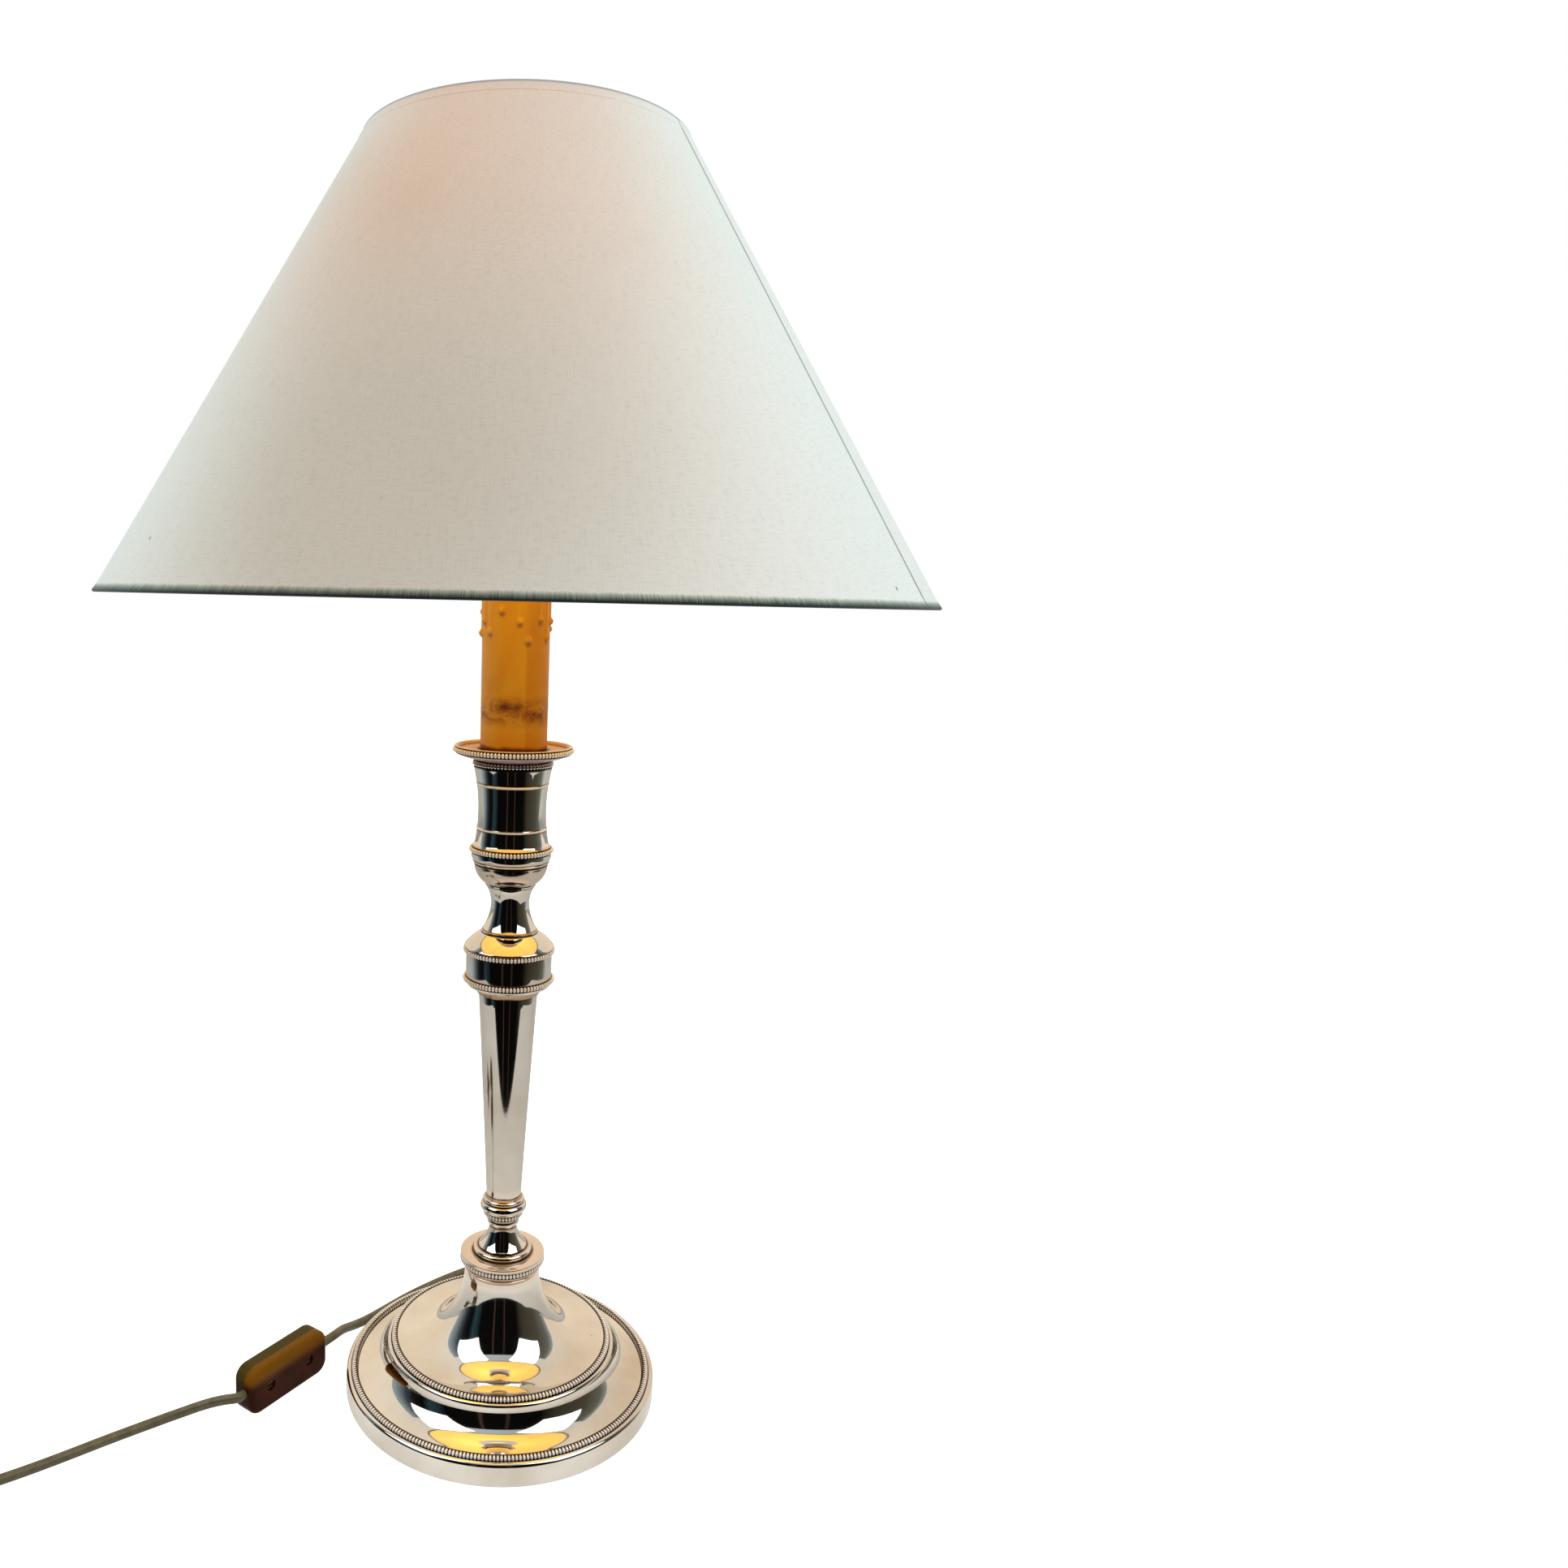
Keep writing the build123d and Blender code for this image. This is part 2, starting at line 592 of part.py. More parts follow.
parts["cup_bead_rings"] = Compound(
    children=[
        bead_ring(CUP_SEAT_R + SEAT_GAP, low0 + SEAT_GAP),
        bead_ring(CUP_TOP_SEAT_R + SEAT_GAP, high0 + SEAT_GAP),
    ]
)

# ---------------------------------------------------------------- drip pan
pan_top = pan_z + PAN_H
pan0 = pan_z + 2.9
parts["drip_pan"] = turned(
    (rod_hole, floor_z),
    (PAN_R - 2.0, floor_z),
    (PAN_R - 1.2, pan_top),
    (PAN_R, pan_top),
    (PAN_R, pan0 + BEAD_H + 2 * SEAT_GAP),
    (PAN_SEAT_R, pan0 + BEAD_H + 2 * SEAT_GAP),
    (PAN_SEAT_R, pan0),
    (PAN_SEAT_R + 0.4, pan0),
    (PAN_SEAT_R, pan0 - 0.4),
    ((PAN_R - 4.5, pan_z + 1.1), (CUP_TOP_SEAT_R, pan_z)),
    (CUP_TOP_SEAT_R - CUP_WALL, pan_z),
    (CUP_TOP_SEAT_R - CUP_WALL, floor_z - PAN_PLATE),
    (rod_hole, floor_z - PAN_PLATE),
)
parts["pan_bead_ring"] = bead_ring(PAN_SEAT_R + SEAT_GAP, pan0 + SEAT_GAP)

# ---------------------------------------------------------------- candle sleeve with moulded drips
sleeve = disc(SLEEVE_R, floor_z, sleeve_top)
for turn, length in DRIPS:
    spot = around(turn - 90, SLEEVE_R)
    sleeve += spot * disc(DRIP_R, sleeve_top - length + DRIP_R, sleeve_top)
    sleeve += spot * Pos(0, 0, sleeve_top - length + DRIP_R) * Sphere(DRIP_R)
sleeve_bore = SLEEVE_R - SLEEVE_T
parts["candle_sleeve"] = sleeve - disc(sleeve_bore, floor_z - 1, sleeve_top + 1)

# ---------------------------------------------------------------- tie rod, nuts, locating washer
top_nut_z = floor_z + SLEEVE_WASHER_T
parts["tie_rod"] = tube(ROD_BORE_R, ROD_R, rod_z0, rod_z1)
parts["sleeve_washer"] = tube(rod_hole, sleeve_bore - SEAT_GAP, floor_z, top_nut_z)
parts["rod_nuts"] = Compound(children=[nut(web_z - WASHER_T - NUT_H), nut(top_nut_z)])

# ---------------------------------------------------------------- lamp holder
nipple_z = holder_z - FLANGE_H
parts["reducer_nipple"] = turned(
    (ROD_R + SEAT_GAP, nipple_z),
    (FLANGE_R, nipple_z),
    (FLANGE_R, holder_z),
    (ENTRY_R, holder_z),
    (ENTRY_R, holder_z + ENTRY_H),
    (ROD_R + SEAT_GAP, holder_z + ENTRY_H),
)
bore = HOLDER_R - HOLDER_WALL
parts["holder_cap"] = turned(
    (ENTRY_R + SEAT_GAP, holder_z),
    (HOLDER_R - 1, holder_z),
    (HOLDER_R, holder_z + 1),
    (HOLDER_R, mantle_z),
    (bore, mantle_z),
    (bore, holder_z + HOLDER_FLOOR),
    (ENTRY_R + 2, holder_z + HOLDER_FLOOR),
    (ENTRY_R + 2, holder_z + ENTRY_H),
    (ENTRY_R + SEAT_GAP, holder_z + ENTRY_H),
)
insert_z = mantle_z
parts["holder_mantle"] = turned(
    (INSERT_R + SEAT_GAP, mantle_z),
    (HOLDER_R, mantle_z),
    (HOLDER_R, mantle_top - 0.8),
    (HOLDER_R - 0.8, mantle_top),
    (HOLDER_LIP_R, mantle_top),
    (HOLDER_LIP_R, mantle_top - HOLDER_LIP_T),
    (bore, mantle_top - HOLDER_LIP_T),
    (bore, insert_z + 2),
    (INSERT_R + SEAT_GAP, insert_z + 2),
)
shell_z = insert_z + INSERT_FLOOR + SHELL_SEAT
shell_out = SHELL_BORE_R + SHELL_WALL
parts["holder_insert"] = turned(
    (0, insert_z),
    (INSERT_R, insert_z),
    (INSERT_R, insert_z + INSERT_H),
    (shell_out + SEAT_GAP, insert_z + INSERT_H),
    (shell_out + SEAT_GAP, shell_z),
    (SHELL_BORE_R - 0.8, shell_z),
    (SHELL_BORE_R - 0.8, insert_z + INSERT_FLOOR),
    (0, insert_z + INSERT_FLOOR),
)
parts["screw_shell"] = tube(SHELL_BORE_R, shell_out, shell_z, shell_z + SHELL_H)
parts["centre_contact"] = disc(CONTACT_R, insert_z + INSERT_FLOOR, insert_z + INSERT_FLOOR + CONTACT_T)

# ---------------------------------------------------------------- cable up the rod, wires to the holder
away = math.radians(90 - EXIT_AZ)
cable_top = rod_z1 + 5
gland_inner = (GLAND_IN * math.cos(away), GLAND_IN * math.sin(away), EXIT_Z)
parts["inner_cable"], _ = flex([gland_inner, (0, 0, EXIT_Z), (0, 0, cable_top)], FLEX_R, [CABLE_BEND_R])
wires = []
for side in (-1, 1):
    route = [(side * 0.95, 0, cable_top), (side * 0.95, 0, cable_top + 2.4)]
    route += [(side * 5, 0, insert_z - 2.4), (side * 5, 0, insert_z)]
    wires.append(flex(route, 0.8)[0])
parts["holder_wires"] = Compound(children=wires)

# ---------------------------------------------------------------- shade ring nuts and carrier
ring_z = mantle_z + RING_LIFT
carrier_z = ring_z + RING_NUT_H + FACE_GAP
nut_top_z = carrier_z + CARRIER_T + FACE_GAP
ring_bore = HOLDER_R + RUN_GAP
lower_nut = tube(ring_bore, RING_NUT_R, ring_z, ring_z + RING_NUT_H)
upper_nut = tube(ring_bore, RING_NUT_R, nut_top_z, nut_top_z + RING_NUT_H)
parts["ring_nuts"] = Compound(children=[lower_nut, upper_nut])

slope = (SHADE_R0 - SHADE_R1) / SHADE_H
shade_z1 = SHADE_Z0 + SHADE_H


def shade_r(z):
    """Outer radius of the shade at a height."""
    return SHADE_R0 - slope * (z - SHADE_Z0)


low_wire_z = SHADE_Z0 + WIRE_R + 0.05
low_wire_r = shade_r(low_wire_z + WIRE_R) - SHADE_T - WIRE_R - 0.1
high_wire_z = shade_z1 - WIRE_R - 0.05
high_wire_r = shade_r(high_wire_z + WIRE_R) - SHADE_T - WIRE_R - 0.1
arm_start = (CARRIER_R - 1.6, 0, carrier_z + CARRIER_T / 2)
arm_end = (low_wire_r, 0, low_wire_z)
arm_dir = Vector(*arm_end) - Vector(*arm_start)
arm = Solid.make_cylinder(WIRE_R, arm_dir.length, Plane(Vector(*arm_start), z_dir=arm_dir))
carrier = tube(ring_bore + 0.04, CARRIER_R, carrier_z, carrier_z + CARRIER_T)
carrier += Pos(0, 0, low_wire_z) * Torus(low_wire_r, WIRE_R)
for i in range(ARM_COUNT):
    carrier += Rot(0, 0, 90 + i * 360 / ARM_COUNT) * arm
clear_of_nuts = tube(HOLDER_R, RING_NUT_R + 0.3, carrier_z - 4, carrier_z)
clear_of_nuts += tube(HOLDER_R, RING_NUT_R + 0.3, carrier_z + CARRIER_T, carrier_z + 6)
parts["shade_carrier"] = carrier - clear_of_nuts
parts["top_wire_ring"] = Pos(0, 0, high_wire_z) * Torus(high_wire_r, WIRE_R)

# ---------------------------------------------------------------- shade and its rolled hems
parts["shade_cone"] = turned(
    (SHADE_R0, SHADE_Z0),
    (SHADE_R1, shade_z1),
    (SHADE_R1 - SHADE_T, shade_z1),
    (SHADE_R0 - SHADE_T, SHADE_Z0),
)
low_in = low_wire_r - WIRE_R - 0.1
parts["bottom_hem"] = turned(
    (SHADE_R0, SHADE_Z0),
    (shade_r(SHADE_Z0 + HEM_BAND), SHADE_Z0 + HEM_BAND),
    (shade_r(SHADE_Z0 + HEM_BAND) + HEM_T, SHADE_Z0 + HEM_BAND),
    (SHADE_R0 + HEM_T, SHADE_Z0),
    ((SHADE_R0 + HEM_T / 2, SHADE_Z0 - HEM_T), (SHADE_R0 - HEM_T, SHADE_Z0 - HEM_T)),
    (low_in, SHADE_Z0 - HEM_T),
    (low_in, SHADE_Z0),
)
high_in = high_wire_r - WIRE_R - 0.1
parts["top_hem"] = turned(
    (SHADE_R1, shade_z1),
    (shade_r(shade_z1 - HEM_BAND), shade_z1 - HEM_BAND),
    (shade_r(shade_z1 - HEM_BAND) + HEM_T, shade_z1 - HEM_BAND),
    (SHADE_R1 + HEM_T, shade_z1),
    ((SHADE_R1 + HEM_T / 2, shade_z1 + HEM_T), (SHADE_R1 - HEM_T, shade_z1 + HEM_T)),
    (high_in - HEM_T, shade_z1 + HEM_T),
    (high_in - HEM_T, high_wire_z - HEM_TURN),
    (high_in, high_wire_z - HEM_TURN),
    (high_in, shade_z1),
)

# ---------------------------------------------------------------- bulb
tip_z = insert_z + INSERT_FLOOR + CONTACT_T + TIP_GAP
cap_z = tip_z + BULB_TIP_T + BULB_INSULATOR_H
cap_top = cap_z + BULB_CAP_H
ball_z = tip_z + BULB_LENGTH - BULB_R
parts["bulb_tip_contact"] = disc(BULB_TIP_R, tip_z, tip_z + BULB_TIP_T)
parts["bulb_insulator"] = Pos(0, 0, tip_z + BULB_TIP_T + BULB_INSULATOR_H / 2) * Cone(
    BULB_TIP_R + 1, BULB_CAP_R - 0.9, BULB_INSULATOR_H
)
ridges = [(BULB_NECK_R + 0.05, cap_z), (BULB_CAP_R - BULB_RIDGE_H, cap_z)]
for i in range(4):
    z = cap_z + (i + 0.5) * BULB_RIDGE
    ridges.append(((BULB_CAP_R, z), (BULB_CAP_R - BULB_RIDGE_H, z + BULB_RIDGE / 2)))
    if i == 0:
        ridges[-1:] = [(BULB_CAP_R - BULB_RIDGE_H, cap_z + 0.01), ridges[-1]]
ridges += [(BULB_CAP_R - BULB_RIDGE_H, cap_top), (BULB_NECK_R + 0.05, cap_top)]
parts["bulb_cap"] = turned(*ridges)
ball_join = math.radians(-58)
join = (BULB_R * math.cos(ball_join), ball_z + BULB_R * math.sin(ball_join))
inner_r = BULB_R - GLASS_T
inner_join = (inner_r * math.cos(ball_join), ball_z + inner_r * math.sin(ball_join))
neck_z = cap_top + 0.6
side = math.radians(10)
parts["bulb_glass"] = turned(
    (BULB_NECK_R, cap_z + 5),
    (BULB_NECK_R, cap_top),
    (BULB_NECK_R + 0.9, neck_z),
    ((8.6, (neck_z + join[1]) / 2 + 0.4), join),
    ((BULB_R * math.cos(side), ball_z + BULB_R * math.sin(side)), (0, ball_z + BULB_R)),
    (0, ball_z + inner_r),
    ((inner_r * math.cos(side), ball_z + inner_r * math.sin(side)), inner_join),
    ((8.6 - GLASS_T, (neck_z + join[1]) / 2 + 0.9), (BULB_NECK_R - GLASS_T, neck_z + 0.8)),
    (BULB_NECK_R - GLASS_T, cap_z + 5),
)
parts["bulb_stem"] = disc(BULB_NECK_R - GLASS_T, cap_z + 5, cap_z + 6.5) + disc(1.8, cap_z + 6.5, ball_z - 8)
bridge_z = ball_z - 7.5
hooks = FilletPolyline((-6, 0, bridge_z), (-8, 0, ball_z + 1), (8, 0, ball_z + 1), (6, 0, bridge_z), radius=2)
wire = Plane(Vector(-6, 0, bridge_z), z_dir=Vector(-2, 0, 8.5)) * Circle(0.3)
parts["bulb_filament"] = sweep(wire, path=hooks) + Pos(0, 0, bridge_z) * Box(13, 1, 1)

# ---------------------------------------------------------------- in-line switch
switch_z = SWITCH_W / 2
heading = math.radians(SWITCH_TURN)
switch_plane = Plane(
    origin=(*SWITCH_AT, switch_z),
    x_dir=(math.cos(heading), math.sin(heading), 0),
    z_dir=(math.sin(heading), -math.cos(heading), 0),
)


def half(thickness, side):
    """Hollow half of the switch: side 1 is the screwed front, -1 the back."""
    block = extrude(RectangleRounded(SWITCH_L, SWITCH_W, SWITCH_CORNER), side * thickness)
    face = block.faces().sort_by(Axis.Z)[-1 if side > 0 else 0]
    block = fillet(face.edges(), SWITCH_ROUND)
    room = extrude(
        RectangleRounded(
            SWITCH_L - 2 * SWITCH_WALL - 4, SWITCH_W - 2 * SWITCH_WALL, SWITCH_CORNER - SWITCH_WALL
        ),
        side * (thickness - SWITCH_WALL),
    )
    return block - room - Rot(0, 90, 0) * Cylinder(FLEX_R + SEAT_GAP, SWITCH_L + 2)


screw_places = [Pos(x, 0, 0) for x in (-SCREW_AT, SCREW_AT)]
sink = SWITCH_FRONT - SCREW_SINK
front = half(SWITCH_FRONT, 1)
back = half(SWITCH_BACK, -1)
screws = []
for place in screw_places:
    front += place * (disc(POST_R, 0, SWITCH_FRONT - 1))
    front -= place * disc(SCREW_R + SEAT_GAP, -1, SWITCH_FRONT)
    front -= place * disc(SCREW_HEAD_R + 2 * SEAT_GAP, sink - SCREW_HEAD_H, SWITCH_FRONT + 1)
    back += place * disc(POST_R, 1 - SWITCH_BACK, 0)
    back -= place * disc(SCREW_R + SEAT_GAP, 1.4 - SWITCH_BACK, 1)
    screw = disc(SCREW_HEAD_R, sink - SCREW_HEAD_H, sink) + disc(SCREW_R, 1.6 - SWITCH_BACK, sink)
    screw -= Pos(0, 0, sink) * Box(2 * SCREW_HEAD_R + 1, 0.6, 1.0)
    screws.append(switch_plane * place * screw)
window_l = ROCKER_L + 2 * WINDOW_GAP
window_w = ROCKER_W + 0.3
back -= Pos(0, 0, -SWITCH_BACK) * Box(window_l, window_w, 3 * SWITCH_WALL)
for side in (-1, 1):
    cheek_y = side * (window_w / 2 + 1.1)
    cheek = Pos(0, cheek_y, (SWITCH_WALL - SWITCH_BACK - 1.8) / 2) * Box(
        5.0, 2.2, SWITCH_BACK - SWITCH_WALL - 1.8
    )
    back += cheek
back -= Pos(0, 0, -ROCKER_DEPTH) * Rot(90, 0, 0) * Cylinder(
    ROCKER_PIN_R + RUN_GAP, ROCKER_W + 2 * ROCKER_PIN_L + 0.3
)
parts["switch_front"] = switch_plane * front
parts["switch_back"] = switch_plane * back
parts["switch_screws"] = Compound(children=screws)

# Rocker: a shallow V over its pivot; level here, then tipped to its rest
end_z = -(SWITCH_BACK - ROCKER_DEPTH) - ROCKER_END
mid_z = end_z + 0.6
profile = outline(
    (-3.4, 1.7),
    (3.4, 1.7),
    (ROCKER_L / 2, -0.6),
    (ROCKER_L / 2, end_z),
    ((ROCKER_L / 4, (end_z + mid_z) / 2 + 0.1), (0, mid_z)),
    ((-ROCKER_L / 4, (end_z + mid_z) / 2 + 0.1), (-ROCKER_L / 2, end_z)),
    (-ROCKER_L / 2, -0.6),
)
rocker = Rot(90, 0, 0) * extrude(profile, ROCKER_W / 2, both=True)
rocker += Rot(90, 0, 0) * Cylinder(ROCKER_PIN_R, ROCKER_W + 2 * ROCKER_PIN_L)
parts["rocker"] = switch_plane * Pos(0, 0, -ROCKER_DEPTH) * Rot(0, -ROCKER_TILT, 0) * rocker

# Flex ends inside the switch and the contacts that they reach
lead_in = SCREW_AT + POST_R + 0.6
leads, contacts = [], []
strip_y = POST_R + 0.4
for side in (-1, 1):
    lead = Rot(0, 90, 0) * Cylinder(FLEX_R, SWITCH_L / 2 - lead_in)
    leads.append(switch_plane * Pos(side * (SWITCH_L / 2 + lead_in) / 2, 0, 0) * lead)
    tab = Pos(side * (lead_in - 0.25), 1.3, 0) * Box(0.5, 6.6, 0.8)
    strip = Pos(side * (lead_in + 3) / 2, strip_y + 0.6, 0) * Box(lead_in - 3, 1.2, 0.8)
    contacts.append(switch_plane * (tab + strip))
parts["switch_leads"] = Compound(children=leads)
parts["switch_contacts"] = Compound(children=contacts)

# ---------------------------------------------------------------- flex on the table
def exit_point(r):
    """Middle of the flex at a distance from the lamp's axis, in line with the gland."""
    return r * math.cos(away), r * math.sin(away), EXIT_Z


def switch_point(side, beyond):
    """Middle of the flex beyond one end of the switch, in line with it."""
    along = side * (SWITCH_L / 2 + beyond)
    return SWITCH_AT[0] + along * math.cos(heading), SWITCH_AT[1] + along * math.sin(heading), switch_z


to_switch = [exit_point(GLAND_OUT), exit_point(GLAND_OUT + EXIT_RUN)]
for angle, out, z in FLEX_FOOT:
    turn = math.radians(angle)
    to_switch.append(((BASE_R + out) * math.cos(turn), (BASE_R + out) * math.sin(turn), z))
to_switch += [switch_point(1, SWITCH_RUN[0]), switch_point(1, 0)]
to_coil = [switch_point(-1, 0), switch_point(-1, SWITCH_RUN[1]), *FLEX_COIL]
parts["flex_base_to_switch"], length_a = flex(to_switch)
parts["flex_switch_to_coil"], length_b = flex(to_coil)
parts["flex_coil_to_plug"], length_c = flex(FLEX_PLUG)

# ---------------------------------------------------------------- coil of the spare flex
coil_z = FLEX_COIL[-1][2]
total_turns = COIL_TURNS + (COIL_IN - COIL_OUT) / 360
layer_turns = (total_turns - (COIL_LAYERS - 1) / 2) / COIL_LAYERS


def coil_radius_height(turns):
    """Middle of the flex after some turns: in and out at a steady rate, a layer up where it turns back."""
    layer, along = divmod(turns, layer_turns + 0.5)
    layer = min(int(layer), COIL_LAYERS - 1)
    along = turns - layer * (layer_turns + 0.5)
    inwards = min(along, layer_turns) if layer % 2 == 0 else layer_turns - min(along, layer_turns)
    climb = max(0.0, along - layer_turns) / 0.5
    return COIL_R - COIL_PITCH * inwards, coil_z + COIL_LAYER * (layer + climb)


def coil_point(turns):
    r, z = coil_radius_height(turns)
    angle = math.radians(COIL_IN - 360 * turns)
    return Vector(COIL_AT[0] + r * math.cos(angle), COIL_AT[1] + r * math.sin(angle), z)


knots = [0.0]
for layer in range(COIL_LAYERS):
    start = layer * (layer_turns + 0.5)
    stretches = [(start, start + layer_turns, 9)]
    if layer < COIL_LAYERS - 1:
        stretches.append((start + layer_turns, start + layer_turns + 0.5, 2))
    for t0, t1, count in stretches:
        knots += [t0 + (t1 - t0) * (i + 1) / count for i in range(count)]
tangents = []
for t in knots:
    early, late = max(0.0, t - 0.02), min(total_turns, t + 0.02)
    tangents.append((coil_point(late) - coil_point(early)).normalized())


def level(angle):
    """Level direction of a clockwise turn at an angle from +X."""
    return Vector(math.sin(math.radians(angle)), -math.cos(math.radians(angle)), 0)


tangents[0], tangents[-1] = level(COIL_IN), level(COIL_OUT)
first, last = coil_point(0), coil_point(total_turns)
straight = 2 * FLEX_R
coil_edges = [Line(first - tangents[0] * straight, first)]
for i in range(len(knots) - 1):
    coil_edges += biarc(coil_point(knots[i]), tangents[i], coil_point(knots[i + 1]), tangents[i + 1])
coil_edges.append(Line(last, last + tangents[-1] * straight))
coil_path = Wire(coil_edges)
coil_start = first - tangents[0] * straight
parts["flex_coil"] = sweep(Plane(coil_start, z_dir=tangents[0]) * Circle(FLEX_R), path=coil_path)
spots = [edge @ (k / 8) for edge in coil_edges for k in range(8)]
gap = min(
    (a - b).length - 2 * FLEX_R for i, a in enumerate(spots) for b in spots[i + 40:]
)
tightest = min(edge.radius for edge in coil_edges[1:-1])
print(f"coil: {coil_path.length:.1f} long, {total_turns:.3f} turns, gap {gap:.2f}, tightest arc {tightest:.1f}")
print("coil volume ratio", parts["flex_coil"].volume / (math.pi * FLEX_R ** 2 * coil_path.length))
print("coil ends", coil_start, last + tangents[-1] * straight)
flex_length = length_a + SWITCH_L + length_b + coil_path.length + length_c
print(f"flex from gland to plug: {flex_length:.0f}")

# Tie round all the turns at one place
inner_side = COIL_R - COIL_PITCH * layer_turns - FLEX_R
tie_in = math.sqrt(inner_side ** 2 - (TIE_W / 2) ** 2) - TIE_GAP
tie_out = COIL_R + FLEX_R + TIE_GAP
tie_bottom = coil_z - FLEX_R - TIE_GAP
tie_top = coil_z + COIL_LAYER * (COIL_LAYERS - 1) + FLEX_R + TIE_GAP
tie_plane = Pos(COIL_AT[0], COIL_AT[1], 0) * Rot(0, 0, TIE_AT) * Rot(90, 0, 0)
hole = Pos((tie_in + tie_out) / 2, (tie_bottom + tie_top) / 2) * RectangleRounded(
    tie_out - tie_in, tie_top - tie_bottom, 1.5
)
band = Pos((tie_in + tie_out) / 2, (tie_bottom + tie_top) / 2) * RectangleRounded(
    tie_out - tie_in + 2 * TIE_T, tie_top - tie_bottom + 2 * TIE_T, 2.0
)
parts["coil_tie"] = tie_plane * extrude(band - hole, TIE_W / 2, both=True)

# ---------------------------------------------------------------- plug
plug_x, plug_y, plug_z = FLEX_PLUG[-1]
body_y = plug_y + TAIL_L
nose_y = body_y + PLUG_L
body = Plane.XY.offset(-PLUG_T / 2) * outline(
    (-PLUG_NECK_W / 2, body_y),
    (PLUG_NECK_W / 2, body_y),
    (PLUG_NECK_W / 2, body_y + 6),
    (PLUG_W / 2, body_y + 19),
    (PLUG_W / 2, nose_y),
    (-PLUG_W / 2, nose_y),
    (-PLUG_W / 2, body_y + 19),
    (-PLUG_NECK_W / 2, body_y + 6),
)
body = extrude(body, PLUG_T)
body = fillet(body.edges().filter_by(Axis.Z), PLUG_ROUND)
body = fillet(body.faces().filter_by(Axis.Z).edges(), PLUG_ROUND)
tail = Pos(0, plug_y + TAIL_L / 2 + 0.5, 0) * Rot(-90, 0, 0) * Cone(TAIL_R1, TAIL_R0, TAIL_L + 1)
tail = tail - Pos(0, plug_y - 5, 0) * Box(20, 10, 20)
lie = Pos(plug_x, 0, plug_z)
pins, sleeves, holes = [], [], None
for side in (-1, 1):
    pin_x = side * PIN_SPACING / 2
    facing = Pos(pin_x, nose_y, 0) * Rot(-90, 0, 0)
    pins.append(lie * facing * (disc(PIN_CORE_R, -8, PIN_SLEEVE_L) + disc(PIN_R, PIN_SLEEVE_L, PIN_L)))
    sleeves.append(lie * facing * tube(PIN_CORE_R, PIN_R, 0, PIN_SLEEVE_L))
    body -= facing * disc(PIN_CORE_R, -8, 1)
parts["plug_body"] = lie * (body + tail)
parts["plug_pins"] = Compound(children=pins)
parts["plug_pin_sleeves"] = Compound(children=sleeves)

# ---------------------------------------------------------------- files
for name, part in parts.items():
    export_step(part, f"parts/{name}.step")
    box = part.bounding_box()
    print(
        f"{name:24s} {part.volume:10.1f} mm3  solids {len(part.solids())}"
        f"  x {box.min.X:.1f}..{box.max.X:.1f}  y {box.min.Y:.1f}..{box.max.Y:.1f}"
        f"  z {box.min.Z:.2f}..{box.max.Z:.2f}"
    )
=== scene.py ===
import math

import bpy
from mathutils import Matrix, Vector


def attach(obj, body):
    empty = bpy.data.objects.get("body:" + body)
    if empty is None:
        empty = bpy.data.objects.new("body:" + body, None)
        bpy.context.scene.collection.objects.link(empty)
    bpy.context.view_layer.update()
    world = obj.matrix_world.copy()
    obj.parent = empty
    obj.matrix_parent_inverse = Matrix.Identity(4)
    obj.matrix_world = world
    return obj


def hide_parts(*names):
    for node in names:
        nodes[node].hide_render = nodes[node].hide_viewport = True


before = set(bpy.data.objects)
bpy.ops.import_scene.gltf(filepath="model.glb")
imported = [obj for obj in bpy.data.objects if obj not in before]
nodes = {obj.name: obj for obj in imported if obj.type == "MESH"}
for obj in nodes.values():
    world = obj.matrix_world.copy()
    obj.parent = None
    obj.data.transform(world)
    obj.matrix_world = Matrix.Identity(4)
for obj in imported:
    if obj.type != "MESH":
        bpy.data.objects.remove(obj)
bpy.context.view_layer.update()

# A candlestick table lamp: silver-plated stem, amber candle sleeve, linen shade, flex with a switch.
MM = 0.001

# ---------------------------------------------------------------- camera
# The lens is level with the shade's lower edge and looks slightly down, so that edge shows as a line.
# The shift puts the lamp left of the middle, as the photograph does.
camera = bpy.data.cameras.new("camera")
camera.sensor_width = 36
camera.lens = 27.95
camera.shift_x = 0.173
camera.clip_start = 0.01
EYE_AT, LOOKS_DOWN, LEANS = (0, -0.470, 0.3252), 8.62, 1.27
eye = bpy.data.objects.new("camera", camera)
tilt = Matrix.Rotation(math.radians(90 - LOOKS_DOWN), 4, "X") @ Matrix.Rotation(math.radians(LEANS), 4, "Z")
eye.matrix_world = Matrix.Translation(EYE_AT) @ tilt
bpy.context.scene.collection.objects.link(eye)
bpy.context.scene.camera = eye
bpy.context.scene.view_settings.view_transform = "Standard"


# ---------------------------------------------------------------- flex
# Slim two-core PVC flex, olive gold, 1.8 m from the foot to the plug, with the switch on it.
# It leaves the back of the foot, passes through the switch, and its spare length is coiled at the left.
def linear(text):
    """A six-digit sRGB hex colour as linear red, green, blue and alpha."""
    values = [int(text[i:i + 2], 16) / 255 for i in (0, 2, 4)]
    return (*[v / 12.92 if v <= 0.04045 else ((v + 0.055) / 1.055) ** 2.4 for v in values], 1.0)


